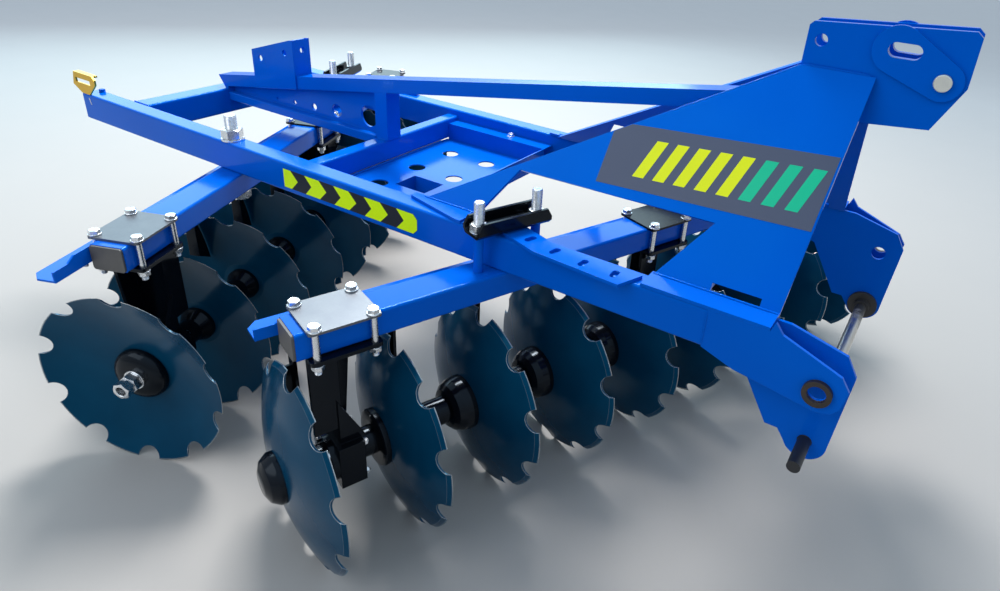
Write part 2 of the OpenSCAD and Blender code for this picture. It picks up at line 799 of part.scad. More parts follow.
// Scraper: an arm below the bar and a blade whose edge follows the dish
scraper_gap = 6.5;
scraper_z = axle_z + 90;
scraper_step = 32;
arm_z = scraper_z + 40;
arm_t = 8;
arm_w = 32;
arm_off = 26;
arm_n = -hanger_back - hanger_w / 2 - 2 - arm_w;
blade_n = arm_n + 12;
blade_t = 6;
function dish_t(z) = sag(norm([blade_n, z - axle_z])) - sag(disc_r);
module scraper() {
    heights = [for (i = [0 : 4]) scraper_z + i * scraper_step];
    translate([arm_n, arm_off, arm_z]) cube([arm_w, arm_t, bar_z - arm_z]);
    translate([blade_n, 0, 0])
        rotate([90, 0, 90])
            linear_extrude(blade_t)
                polygon(concat(
                    [for (z = heights) [dish_t(z) + scraper_gap, z]],
                    [[arm_off + arm_t, heights[4]], [arm_off + arm_t, arm_z]]
                ));
}

module scrapers(g) color(black) placed()
    gang(g)
        for (i = [0 : discs - 2]) translate([0, rim_t(g, i), 0]) scraper();

// Section of a clamp channel across its length, with folded lower corners, less thick on each side
module channel_section(less) {
    w = channel_w / 2 - less;
    fold = channel_fold + less * tan(22.5);
    flat = channel_w / 2 - channel_fold - less * tan(22.5);
    polygon([
        [-flat, less], [flat, less], [w, fold], [w, channel_h + less], [-w, channel_h + less], [-w, fold]
    ]);
}

// Angle clamp: a channel laid across the strap, with the studs' nuts on its floor
clamp_nut_h = 20;
channel_l = clamp_bolts + 2 * channel_end;
module angle_clamp(g) color(black) placed()
    gang(g)
        difference() {
            union() {
                translate([0, clamp_t(g), strap_top + seat_gap])
                    intersection() {
                        translate([0, channel_l / 2, 0])
                            rotate([90, 0, 0])
                                linear_extrude(channel_l)
                                    difference() {
                                        channel_section(0);
                                        channel_section(plate_t);
                                    }
                        translate([-channel_w / 2, 0, 0])
                            rotate([90, 0, 90])
                                linear_extrude(channel_w)
                                    polygon([
                                        [-channel_l / 2, 0], [channel_l / 2, 0],
                                        [channel_l / 2, channel_h / 2],
                                        [channel_l / 2 - channel_cut, channel_h],
                                        [channel_cut - channel_l / 2, channel_h],
                                        [-channel_l / 2, channel_h / 2]
                                    ]);
                    }
                at_studs(g)
                    translate([0, 0, strap_top + seat_gap + plate_t]) hex(36, clamp_nut_h);
            }
            at_studs(g)
                translate([0, 0, strap_top]) cylinder(h = channel_h, r = clamp_bolt_d / 2 + hole_fit);
        }

// Notched dished disc: its rim lies at y = 0 and its hollow face looks along +Y
module disc()
    rotate([-90, 0, 0])
        difference() {
            intersection() {
                union() {
                    difference() {
                        translate([0, 0, dish_r - sag(disc_r)]) sphere(dish_r + disc_t, $fn = 96);
                        translate([0, 0, dish_r - sag(disc_r)]) sphere(dish_r, $fn = 96);
                        translate([0, 0, -dish_r]) cylinder(h = 2 * dish_r, r = flat_r - 1);
                    }
                    translate([0, 0, -dish_depth - disc_t]) cylinder(h = disc_t, r = flat_r);
                }
                translate([0, 0, -disc_r + 0.01]) cylinder(h = disc_r, r1 = 0, r2 = disc_r, $fn = 96);
            }
            for (i = [0 : notches - 1])
                rotate((i + 0.5) * 360 / notches)
                    translate([disc_r, 0, -dish_depth]) cylinder(h = 2 * dish_depth, r = notch_r);
            translate([-axle_a / 2 - hole_fit, -axle_a / 2 - hole_fit, -dish_r])
                cube([axle_a + 2 * hole_fit, axle_a + 2 * hole_fit, dish_r]);
        }

module disc_set(g) color(disc_blue) placed()
    gang(g)
        for (i = [0 : discs - 1])
            translate([0, rim_t(g, i), axle_z]) disc();

// Spool between two discs: a foot, a neck and a domed bell, which is flatter beside a bearing
spool_gap = 0.15;
spool_l = pitch - disc_t - 2 * spool_gap;
foot_r = 52;
bell_rim = 12;
module spool(bearing) {
    dome = bearing ? 8 : 50;
    rotate([-90, 0, 0])
        rotate_extrude()
            polygon(concat(
                [[axle_a * 0.75, 0], [foot_r, 0], [foot_r, bell_rim], [neck_r, 40]],
                [for (a = [0 : 22.5 : 90])
                    [neck_r + (bell_r - neck_r) * sin(a), spool_l - bell_rim - dome * cos(a)]],
                [[bell_r, spool_l], [axle_a * 0.75, spool_l]]
            ));
}

module spools(g) color(black) placed()
    gang(g)
        for (i = [0 : discs - 2])
            translate([0, rim_t(g, i) - dish_depth + spool_gap, axle_z])
                spool(len([for (k = g[3]) if (k == i) 1]) > 0);

// Axle bar with an end bell on one side, a coned washer, a nut and a hollow end nut on the other
end_bell_r = 61;
end_bell_l = 38;
cone_r = 74;
cone_l = 34;
end_washer_t = 5;
end_nut_h = 24;
end_nut_gap = 1;
module axle(g) color(steel) placed()
    gang(g)
        translate([0, 0, axle_z]) {
            t0 = rim_t(g, 0) - dish_depth - disc_t;
            t1 = rim_t(g, discs - 1) - dish_depth;
            translate([-axle_a / 2, t0 - 10, -axle_a / 2]) cube([axle_a, t1 - t0 + 20, axle_a]);
            translate([0, t0, 0])
                rotate([90, 0, 0])
                    rotate_extrude()
                        polygon([
                            [0, 0], [end_bell_r, 0], [end_bell_r, bell_rim], [end_bell_r - 13, end_bell_l - 9],
                            [28, end_bell_l], [0, end_bell_l]
                        ]);
            translate([0, t1, 0])
                rotate([-90, 0, 0]) {
                    rotate_extrude()
                        polygon([
                            [0, 0], [flat_r - 1, 0], [cone_r, 2], [cone_r, 8], [34, cone_l], [0, cone_l]
                        ]);
                    translate([0, 0, cone_l]) cylinder(h = end_washer_t, d = 56);
                    translate([0, 0, cone_l + end_washer_t]) {
                        hex(46, end_nut_h);
                        cylinder(h = end_nut_h + end_nut_gap, d = 30);
                        translate([0, 0, end_nut_h + end_nut_gap])
                            difference() {
                                hex(41, end_nut_h);
                                translate([0, 0, 3]) cylinder(h = end_nut_h, d = 26);
                            }
                    }
                }
        }

module front_beam() gang_beam(FRONT);
module front_end_caps() end_caps(FRONT);
module front_clamp_plates() clamp_plates(FRONT);
module front_hanger_bolts() hanger_bolts(FRONT);
module front_hangers() hangers(FRONT);
module front_scraper_bar() scraper_bar(FRONT);
module front_scrapers() scrapers(FRONT);
module front_angle_clamp() angle_clamp(FRONT);
module front_axle() axle(FRONT);
module front_discs() disc_set(FRONT);
module front_spools() spools(FRONT);
module rear_beam() gang_beam(REAR);
module rear_end_caps() end_caps(REAR);
module rear_clamp_plates() clamp_plates(REAR);
module rear_hanger_bolts() hanger_bolts(REAR);
module rear_hangers() hangers(REAR);
module rear_scraper_bar() scraper_bar(REAR);
module rear_scrapers() scrapers(REAR);
module rear_angle_clamp() angle_clamp(REAR);
module rear_axle() axle(REAR);
module rear_discs() disc_set(REAR);
module rear_spools() spools(REAR);

near_rail();
far_rail();
rear_cross_tube();
middle_cross_tube();
front_cross_tube();
weight_tray();
spine_tube();
spine_web();
brace_post();
top_brace();
rear_bracket();
near_tower_plate();
far_tower_plate();
top_link_plates();
top_link_pin();
near_hitch_plates();
far_hitch_plates();
hitch_bushes();
cross_shaft();
angle_straps();
lamp_brackets();
pivot_bolts();
front_beam();
front_end_caps();
front_clamp_plates();
front_hanger_bolts();
front_hangers();
front_scraper_bar();
front_scrapers();
front_angle_clamp();
rear_beam();
rear_end_caps();
rear_clamp_plates();
rear_hanger_bolts();
rear_hangers();
rear_scraper_bar();
rear_scrapers();
rear_angle_clamp();
front_axle();
front_discs();
front_spools();
rear_axle();
rear_discs();
rear_spools();
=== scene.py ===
"""Portrait of a mounted offset disc harrow: its finishes, fasteners, welds, tape, studio and camera.

The machine's lengths and the camera's place are millimetres from the rails' rear ends, the centre
line and the ground. Draft.make() turns them into metres from the machine's own origin. Lengths in a
finish, and the places and sizes of the floor and the lamps, are metres.
"""

import logging
import math
from collections.abc import Mapping, Sequence
from dataclasses import dataclass, field
from enum import Enum
from itertools import product
from typing import Any

import bpy
from mathutils import Matrix, Vector

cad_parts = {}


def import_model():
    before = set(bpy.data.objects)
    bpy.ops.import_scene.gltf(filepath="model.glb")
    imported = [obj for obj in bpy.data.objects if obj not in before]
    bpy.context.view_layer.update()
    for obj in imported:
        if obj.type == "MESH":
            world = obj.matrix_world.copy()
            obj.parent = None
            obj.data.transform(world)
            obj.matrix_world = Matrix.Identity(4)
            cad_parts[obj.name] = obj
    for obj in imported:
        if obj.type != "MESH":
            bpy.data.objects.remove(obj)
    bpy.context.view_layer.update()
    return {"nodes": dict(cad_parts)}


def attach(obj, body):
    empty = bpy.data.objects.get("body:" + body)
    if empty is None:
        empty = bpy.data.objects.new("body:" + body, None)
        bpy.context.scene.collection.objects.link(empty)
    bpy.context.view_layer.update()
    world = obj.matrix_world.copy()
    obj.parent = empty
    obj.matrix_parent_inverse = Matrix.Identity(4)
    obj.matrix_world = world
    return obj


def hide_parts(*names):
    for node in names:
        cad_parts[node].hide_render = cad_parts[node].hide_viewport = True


LOG = logging.getLogger("harrow")
MM = 0.001
ORIGIN = Vector((1272.0, 14.88, 0.0))

Colour = tuple[float, float, float]
Point = tuple[float, float, float]
Outline = tuple[tuple[float, float], ...]
Run = tuple[Point, Point, float]


class Body(Enum):
    """The machine's moving bodies."""

    FRAME = "frame"
    FRONT_GANG = "front_gang"
    REAR_GANG = "rear_gang"
    FRONT_ROTOR = "front_rotor"
    REAR_ROTOR = "rear_rotor"


# Shader graphs


class Socket:
    """One output of a shader graph. Arithmetic on it adds Math nodes."""

    def __init__(self, graph: "Graph", link: bpy.types.NodeSocket) -> None:
        """Keeps the graph that the output belongs to.

        Args:
            graph: The material's graph.
            link: The output socket.
        """
        self.graph = graph
        self.link = link

    def _math(self, operation: str, left: Any, right: Any, clamp: bool = False) -> "Socket":
        """Adds one Math node.

        Args:
            operation: The node's operation.
            left: First value or socket.
            right: Second value or socket.
            clamp: Whether the result stays between 0 and 1.

        Returns:
            The node's result.
        """
        settings = {"operation": operation, "use_clamp": clamp}
        return self.graph.node("ShaderNodeMath", settings, {0: left, 1: right})

    def __add__(self, other: Any) -> "Socket":
        """Sum."""
        return self._math("ADD", self, other)

    def __radd__(self, other: Any) -> "Socket":
        """Sum, reflected."""
        return self._math("ADD", other, self)

    def __sub__(self, other: Any) -> "Socket":
        """Difference."""
        return self._math("SUBTRACT", self, other)

    def __rsub__(self, other: Any) -> "Socket":
        """Difference, reflected."""
        return self._math("SUBTRACT", other, self)

    def __mul__(self, other: Any) -> "Socket":
        """Product."""
        return self._math("MULTIPLY", self, other)

    def __rmul__(self, other: Any) -> "Socket":
        """Product, reflected."""
        return self._math("MULTIPLY", other, self)

    def __gt__(self, other: Any) -> "Socket":
        """One where this is greater, else zero."""
        return self._math("GREATER_THAN", self, other)

    def __lt__(self, other: Any) -> "Socket":
        """One where this is less, else zero."""
        return self._math("LESS_THAN", self, other)

    def clamped(self) -> "Socket":
        """The value held between 0 and 1."""
        return self._math("ADD", self, 0.0, clamp=True)


class Graph:
    """The node graph of one material or of the world."""

    def __init__(self, owner: bpy.types.Material | bpy.types.World) -> None:
        """Empties the owner's graph.

        Args:
            owner: The new material or world.
        """
        self.owner = owner
        owner.use_nodes = True
        self.tree = owner.node_tree
        self.tree.nodes.clear()
        self._place: Socket | None = None

    def feed(self, socket: bpy.types.NodeSocket, value: Any) -> None:
        """Links a socket's input, or sets it.

        Args:
            socket: The input.
            value: A Socket, or a plain value.
        """
        if isinstance(value, Socket):
            self.tree.links.new(value.link, socket)
        elif socket.type == "RGBA" and len(value) == 3:
            socket.default_value = (*value, 1.0)
        else:
            socket.default_value = value

    def node(
        self,
        kind: str,
        settings: Mapping[str, Any] | None = None,
        inputs: Mapping[Any, Any] | None = None,
        output: Any = 0,
    ) -> "Socket | None":
        """Adds a node.

        Args:
            kind: The node's type.
            settings: Its settings, and "stops" for a ramp's places and colours.
            inputs: Values or sockets by input name or number.
            output: Name or number of the output to hand back.

        Returns:
            The chosen output, or None for a node that has none.
        """
        made = self.tree.nodes.new(kind)
        for key, value in (settings or {}).items():
            if key == "stops":
                self._stops(made, value)
            else:
                setattr(made, key, value)
        for key, value in (inputs or {}).items():
            self.feed(made.inputs[key], value)
        return Socket(self, made.outputs[output]) if len(made.outputs) else None

    def _stops(self, ramp: bpy.types.Node, stops: Sequence[tuple[float, Colour]]) -> None:
        """Sets a ramp's stops.

        Args:
            ramp: The Color Ramp node.
            stops: Places and colours, in order.
        """
        elements = ramp.color_ramp.elements
        while len(elements) < len(stops):
            elements.new(1.0)
        for element, (place, colour) in zip(elements, stops):
            element.position = place
            element.color = (*colour, 1.0)

    def place(self) -> Socket:
        """The point's place in the object's own metres, from one node for the whole graph.

        Returns:
            The place.
        """
        if self._place is None:
            self._place = self.node("ShaderNodeTexCoord", output="Object")
        return self._place

    def axis(self, name: str) -> Socket:
        """One coordinate of the point's place, X, Y or Z."""
        return self.node("ShaderNodeSeparateXYZ", None, {0: self.place()}, name)

    def noise(self, scale: float, detail: float = 3.0, roughness: float = 0.5) -> Socket:
        """Noise over the object.

        Args:
            scale: Cells per metre.
            detail: Octaves.
            roughness: How strong the finer octaves are.

        Returns:
            A value about 0.5.
        """
        inputs = {"Vector": self.place(), "Scale": scale, "Detail": detail, "Roughness": roughness}
        return self.node("ShaderNodeTexNoise", None, inputs, "Fac")

    def mix(self, amount: Any, first: Any, second: Any) -> Socket:
        """Mixes two colours.

        Args:
            amount: Share of the second one.
            first: Colour or socket.
            second: Colour or socket.

        Returns:
            The mixed colour.
        """
        made = self.tree.nodes.new("ShaderNodeMix")
        made.data_type = "RGBA"
        # A mix of colours has its factor at input 0 and the colours at 6 and 7
        for number, value in ((0, amount), (6, first), (7, second)):
            self.feed(made.inputs[number], value)
        return Socket(self, made.outputs[2])

    def rounded(self, radius: float) -> Socket:
        """The surface's normal with its edges rounded.

        Args:
            radius: Radius in metres.

        Returns:
            The normal.
        """
        return self.node("ShaderNodeBevel", {"samples": 4}, {"Radius": radius}, "Normal")

    def edges(self, rounded: Socket, gain: float) -> Socket:
        """Where the surface has an edge.

        Args:
            rounded: The rounded normal.
            gain: How sharply the mask rises.

        Returns:
            A mask from 0 to 1.
        """
        flat = self.node("ShaderNodeNewGeometry", output="Normal")
        settings = {"operation": "DOT_PRODUCT"}
        dot = self.node("ShaderNodeVectorMath", settings, {0: flat, 1: rounded}, "Value")
        return ((1.0 - dot) * gain).clamped()

    def bump(
        self, height: Socket, strength: float, distance: float, normal: Socket | None = None
    ) -> Socket:
        """Raises the surface by a height.

        Args:
            height: The height's pattern.
            strength: Share of the effect.
            distance: Height in metres.
            normal: The normal to start from.

        Returns:
            The bumped normal.
        """
        inputs: dict[str, Any] = {"Height": height, "Strength": strength, "Distance": distance}
        if normal is not None:
            inputs["Normal"] = normal
        return self.node("ShaderNodeBump", None, inputs, "Normal")

    def surface(self, **inputs: Any) -> bpy.types.Material:
        """Ends the graph with the surface shader.

        Args:
            **inputs: Its inputs, with underscores for spaces.

        Returns:
            The finished material.
        """
        named = {key.replace("_", " "): value for key, value in inputs.items()}
        shader = self.node("ShaderNodeBsdfPrincipled", None, named)
        self.node("ShaderNodeOutputMaterial", None, {"Surface": shader})
        return self.owner


# Finishes


@dataclass(frozen=True)
class Grain:
    """An uneven pattern over a surface, counted from a start and scaled by a gain."""

    cells: float
    detail: float
    roughness: float
    start: float
    gain: float

    def over(self, graph: Graph) -> Socket:
        """The pattern's value, below zero where the noise is under the start."""
        return (graph.noise(self.cells, self.detail, self.roughness) - self.start) * self.gain


@dataclass(frozen=True)
class Relief:
    """Fine hills in a surface."""

    cells: float
    detail: float
    strength: float
    height: float

    def over(self, graph: Graph, normal: Socket | None = None) -> Socket:
        """Raises the hills.

        Args:
            graph: The material's graph.
            normal: The normal to start from.

        Returns:
            The bumped normal.
        """
        hills = graph.noise(self.cells, self.detail)
        return graph.bump(hills, self.strength, self.height, normal)


@dataclass(frozen=True)
class Enamel:
    """Sprayed gloss enamel with orange peel, soft edges, a painted highlight that lightens every
    edge, and a little uneven tone.
    """

    name: str
    slot: str
    colour: Colour
    light: Colour
    gloss: float
    tint: Colour
    roughness: float = 0.12
    edge_radius: float = 0.0016
    edge_gain: float = 3.0
    # Share of the painted highlight along the edges
    edge_wear_and_highlight: float = 0.4
    drift: Grain = Grain(2.6, 4.0, 0.5, 0.35, 0.9)
    dust: Grain = Grain(38.0, 5.0, 0.7, 0.4, 0.12)
    peel: Relief = Relief(330.0, 2.0, 0.5, 0.0001)

    def build(self) -> bpy.types.Material:
        """Makes the material.

        Returns:
            The new material.
        """
        graph = Graph(bpy.data.materials.new(self.name))
        normal = graph.rounded(self.edge_radius)
        # Painted highlight: the edge mask mixes the paint towards its lighter colour along every
        # edge.
        wear_and_highlight = graph.edges(normal, self.edge_gain) * self.edge_wear_and_highlight
        tone = graph.mix(self.drift.over(graph), self.colour, self.light)
        return graph.surface(
            Base_Color=graph.mix(wear_and_highlight, tone, self.light),
            Roughness=self.roughness + self.dust.over(graph),
            Normal=self.peel.over(graph, normal),
            Specular_IOR_Level=self.gloss,
            Specular_Tint=self.tint,
        )


@dataclass(frozen=True)
class DiscPaint:
    """Thin dip coat on a hardened disc, with bright bare steel along its edges that is partly a
    painted highlight of the rims catching the light.
    """

    name: str
    slot: str
    colour: Colour
    light: Colour
    bare: Colour
    gloss: float
    tint: Colour
    roughness: float = 0.14
    edge_radius: float = 0.0022
    edge_gain: float = 7.0
    # Spread of the bright steel along the edges, partly bare metal and partly painted highlight
    rub_glint_least: float = 0.35
    rub_glint_gain: float = 1.1
    rub_glint_cells: float = 60.0
    bare_metal: float = 0.8
    runs: Grain = Grain(5.0, 4.0, 0.6, 0.3, 1.1)
    dust: Grain = Grain(26.0, 5.0, 0.7, 0.4, 0.2)
    peel: Relief = Relief(140.0, 3.0, 0.45, 0.0001)

    def build(self) -> bpy.types.Material:
        """Makes the material.

        Returns:
            The new material.
        """
        graph = Graph(bpy.data.materials.new(self.name))
        normal = graph.rounded(self.edge_radius)
        edge = graph.edges(normal, self.edge_gain)
        rub_and_glint = self.rub_glint_least + graph.noise(self.rub_glint_cells) * self.rub_glint_gain
        # Partly painted highlight: bright steel colour mixed in along the edges, where the rims
        # catch the light.
        bright = (edge * rub_and_glint).clamped()
        tone = graph.mix(self.runs.over(graph), self.colour, self.light)
        return graph.surface(
            Base_Color=graph.mix(bright, tone, self.bare),
            Metallic=bright * self.bare_metal,
            Roughness=self.roughness + self.dust.over(graph),
            Normal=self.peel.over(graph, normal),
            Specular_IOR_Level=self.gloss,
            Specular_Tint=self.tint,
        )


@dataclass(frozen=True)
class Plating:
    """Zinc plate or turned steel, with faint clouds and turning marks."""

    name: str
    slot: str
    colour: Colour
    tint: Colour
    roughness: float = 0.26
    mark_cells: float = 900.0
    edge_radius: float = 0.0006
    cloud: Grain = Grain(70.0, 4.0, 0.6, 0.3, 1.3)
    dust: Grain = Grain(240.0, 3.0, 0.5, 0.4, 0.12)

    def build(self) -> bpy.types.Material:
        """Makes the material.

        Returns:
            The new material.
        """
        graph = Graph(bpy.data.materials.new(self.name))
        normal = graph.rounded(self.edge_radius)
        marks = Relief(cells=self.mark_cells, detail=2.0, strength=0.16, height=0.00002)
        return graph.surface(
            Base_Color=graph.mix(self.cloud.over(graph), self.colour, self.tint),
            Metallic=1.0,
            Roughness=self.roughness + self.dust.over(graph),
            Normal=marks.over(graph, normal),
        )


@dataclass(frozen=True)
class ClampSteel:
    """Clamp plates: bare mill-scaled steel on the near ends, black enamel on the others."""

    name: str
    slot: str
    bare: Colour
    scale: Colour
    black: Colour
    split_y: float = -0.5
    edge_radius: float = 0.0012
    scale_start: float = 0.36
    scale_gain: float = 2.0
    bare_roughness: float = 0.34
    fine_roughness: float = 0.16
    black_roughness: float = 0.2
    bare_metal: float = 0.85
    fine_relief: float = 0.4
    relief: float = 0.35
    relief_height: float = 0.0002
    gloss: float = 0.16

    def build(self) -> bpy.types.Material:
        """Makes the material.

        Returns:
            The new material.
        """
        graph = Graph(bpy.data.materials.new(self.name))
        normal = graph.rounded(self.edge_radius)
        near = graph.axis("Y") < self.split_y
        mottle = graph.noise(scale=17.0, detail=7.0, roughness=0.68)
        fine = graph.noise(scale=180.0, detail=4.0, roughness=0.7)
        scaled = ((mottle - self.scale_start) * self.scale_gain).clamped()
        steel = graph.mix(scaled, self.bare, self.scale)
        rough_steel = near * (self.bare_roughness + fine * self.fine_roughness)
        hills = mottle + fine * self.fine_relief
        return graph.surface(
            Base_Color=graph.mix(near, self.black, steel),
            Metallic=near * self.bare_metal,
            Roughness=rough_steel + (1.0 - near) * self.black_roughness,
            Normal=graph.bump(hills, self.relief, self.relief_height, normal),
            Specular_IOR_Level=self.gloss,
        )


@dataclass(frozen=True)
class Moulding:
    """Dull moulded plastic or rubber with a fine grain."""

    name: str
    slot: str
    colour: Colour
    wear_and_highlight: Colour
    roughness: float = 0.5
    edge_radius: float = 0.0015
    edge_gain: float = 3.0
    edge_wear_and_highlight: float = 0.5
    cloud_start: float = 0.3
    rough_start: float = 0.5
    rough_gain: float = 0.2
    pores: Relief = Relief(800.0, 2.0, 0.4, 0.0001)

    def build(self) -> bpy.types.Material:
        """Makes the material.

        Returns:
            The new material.
        """
        graph = Graph(bpy.data.materials.new(self.name))
        normal = graph.rounded(self.edge_radius)
        cloud = graph.noise(scale=22.0, detail=5.0, roughness=0.65)
        edge = graph.edges(normal, self.edge_gain)
        rub_and_glint = (cloud - self.cloud_start + edge * self.edge_wear_and_highlight).clamped()
        return graph.surface(
            Base_Color=graph.mix(rub_and_glint, self.colour, self.wear_and_highlight),
            Roughness=self.roughness + (cloud - self.rough_start) * self.rough_gain,
            Normal=self.pores.over(graph, normal),
        )


@dataclass(frozen=True)
class Shaft:
    """Cross shaft: worn bright in the middle, black outside the hitch plates, greasy near them."""

    name: str
    slot: str
    bright: Colour
    film: Colour
    grease: Colour
    black: Colour
    black_from: float = 0.341
    grease_from: float = 0.19
    grease_gain: float = 12.0
    grease_metal: float = 0.9
    grease_roughness: float = 0.15
    smear_middle: float = 0.5
    smear_reach: float = 3.0
    smear_start: float = 0.3
    smear_roughness: float = 0.2
    roughness: float = 0.24
    edge_radius: float = 0.001
    scratches: Relief = Relief(420.0, 3.0, 0.4, 0.0001)

    def build(self) -> bpy.types.Material:
        """Makes the material.

        Returns:
            The new material.
        """
        graph = Graph(bpy.data.materials.new(self.name))
        normal = graph.rounded(self.edge_radius)
        offset = graph.axis("Y") + ORIGIN.y * MM
        reach = graph.node("ShaderNodeMath", {"operation": "ABSOLUTE"}, {0: offset})
        smear = graph.noise(scale=30.0, detail=6.0, roughness=0.7)
        patches = (smear - self.smear_middle) * self.smear_reach
        greasy = ((reach - self.grease_from) * self.grease_gain + patches).clamped()
        outside = reach > self.black_from
        tone = graph.mix((smear - self.smear_start).clamped(), self.bright, self.film)
        rough = self.roughness + smear * self.smear_roughness + greasy * self.grease_roughness
        return graph.surface(
            Base_Color=graph.mix(outside, graph.mix(greasy, tone, self.grease), self.black),
            Metallic=(1.0 - outside) * (1.0 - greasy * self.grease_metal),
            Roughness=rough,
            Normal=self.scratches.over(graph, normal),
        )


@dataclass(frozen=True)
class Vinyl:
    """Sticky film. A reflective one shows fine cells."""

    name: str
    slot: str
    colour: Colour
    cells: float = 0.0
    roughness: float = 0.34
    dark: float = 0.8
    cell_spread: float = 0.35
    cell_walls: float = 5.0
    cell_shade: float = 0.5
    gloss: float = 0.2
    cloud: Grain = Grain(6.0, 4.0, 0.5, 0.35, 0.5)
    dust: Grain = Grain(45.0, 3.0, 0.5, 0.5, 0.14)
    waves: Relief = Relief(120.0, 3.0, 0.25, 0.00008)

    def build(self) -> bpy.types.Material:
        """Makes the material.

        Returns:
            The new material.
        """
        graph = Graph(bpy.data.materials.new(self.name))
        dark = tuple(c * self.dark for c in self.colour)
        shade = self._cells(graph) if self.cells else self.cloud.over(graph)
        return graph.surface(
            Base_Color=graph.mix(shade, self.colour, dark),
            Roughness=self.roughness + self.dust.over(graph),
            Normal=self.waves.over(graph),
            Specular_IOR_Level=self.gloss,
        )

    def _cells(self, graph: Graph) -> Socket:
        """Shade along the walls of a reflective film's cells.

        Args:
            graph: The material's graph.

        Returns:
            The shade, from 0 to the cells' share.
        """
        inputs = {"Vector": graph.place(), "Scale": self.cells, "Randomness": self.cell_spread}
        settings = {"feature": "DISTANCE_TO_EDGE"}
        cell = graph.node("ShaderNodeTexVoronoi", settings, inputs, "Distance")
        return (1.0 - cell * self.cell_walls).clamped() * self.cell_shade


class Finish(Enum):
    """Every finish on the machine."""

    BLUE = Enamel(
        "blue_enamel", "blue_paint", (0.0002, 0.088, 0.5), (0.0005, 0.13, 0.66), 0.2,
        (0.02, 0.55, 1.0),
    )
    BLACK = Enamel(
        "black_enamel", "black_paint", (0.002, 0.0025, 0.004), (0.007, 0.008, 0.012), 0.2,
        (0.7, 0.85, 1.0), 0.14,
    )
    DISC = DiscPaint(
        "disc_dip_coat", "disc_enamel", (0.001, 0.03, 0.068), (0.002, 0.062, 0.125),
        (0.62, 0.63, 0.62), 0.18, (0.1, 0.65, 1.0),
    )
    ZINC = Plating("zinc_plate", "zinc", (0.78, 0.79, 0.8), (0.66, 0.67, 0.68))
    PIN = Plating("pin_plate", "zinc", (0.8, 0.77, 0.68), (0.66, 0.64, 0.58), 0.36)
    STEEL = ClampSteel(
        "clamp_plate_steel", "bare_steel", (0.155, 0.165, 0.18), (0.12, 0.13, 0.15),
        (0.005, 0.006, 0.008),
    )
    CAP = Moulding("cap_plastic", "cap_plastic", (0.075, 0.07, 0.066), (0.13, 0.122, 0.115))
    AMBER = Plating(
        "amber_passivate", "amber_paint", (0.82, 0.45, 0.03), (0.86, 0.58, 0.1), 0.3, 500.0
    )
    SHAFT = Shaft(
        "cross_shaft_steel", "bright_steel", (0.66, 0.62, 0.56), (0.5, 0.42, 0.33),
        (0.04, 0.035, 0.03), (0.012, 0.012, 0.014),
    )
    BUSH = Moulding("greasy_bush", "black_paint", (0.012, 0.01, 0.009), (0.07, 0.035, 0.018), 0.42)
    TAPE_BLACK = Vinyl("tape_black", "black_paint", (0.02, 0.023, 0.032), 420.0, 0.4)
    TAPE_YELLOW = Vinyl("tape_yellow_green", "amber_paint", (0.72, 1.0, 0.005), 420.0, 0.4)
    PANEL_GREY = Vinyl("panel_grey", "black_paint", (0.065, 0.08, 0.125))
    PANEL_YELLOW = Vinyl("panel_yellow", "amber_paint", (0.7, 0.75, 0.0))
    PANEL_GREEN = Vinyl("panel_green", "blue_paint", (0.0, 0.46, 0.24))


class Paintbox:
    """Builds each finish once."""

    def __init__(self) -> None:
        """Starts with no material made."""
        self._made: dict[Finish, bpy.types.Material] = {}

    def get(self, finish: Finish) -> bpy.types.Material:
        """The material of a finish, made at its first use.

        Args:
            finish: The finish.

        Returns:
            Its material.
        """
        if finish not in self._made:
            self._made[finish] = finish.value.build()
        return self._made[finish]


# Shapes

Face = tuple[int, ...]
Shape = tuple[list[Vector], list[Face]]


def spoke(radius: float, angle: float, z: float) -> Vector:
    """A point at a radius, an angle and a height."""
    return Vector((radius * math.cos(angle), radius * math.sin(angle), z))


def skin(rows: int, sides: int) -> list[Face]:
    """Faces between rows of points that each go once round.

    Args:
        rows: Number of rows.
        sides: Points in a row.

    Returns:
        The faces.
    """
    faces: list[Face] = []
    for row in range(rows - 1):
        low, high = row * sides, (row + 1) * sides
        for i in range(sides):
            j = (i + 1) % sides
            faces.append((low + i, low + j, high + j, high + i))
    return faces


def turned(profile: Sequence[tuple[float, float]], sides: int = 40) -> Shape:
    """Turns a profile about Z.

    Args:
        profile: Radii and heights, from one end to the other.
        sides: Faces round the turn.

    Returns:
        Points and faces.
    """
    points = [spoke(r, math.tau * i / sides, z) for r, z in profile for i in range(sides)]
    return points, skin(len(profile), sides)


def ring(inner: float, outer: float, height: float) -> Shape:
    """A washer with broken edges, from z = 0.

    Args:
        inner: Radius of its hole.
        outer: Its outer radius.
        height: Its thickness.

    Returns:
        Points and faces.
    """
    lip = min(0.5, height * 0.2)
    edge = outer - lip
    profile = [
        (inner, 0), (edge, 0), (outer, lip), (outer, height - lip), (edge, height), (inner, height)
    ]
    return turned(profile, sides=48)


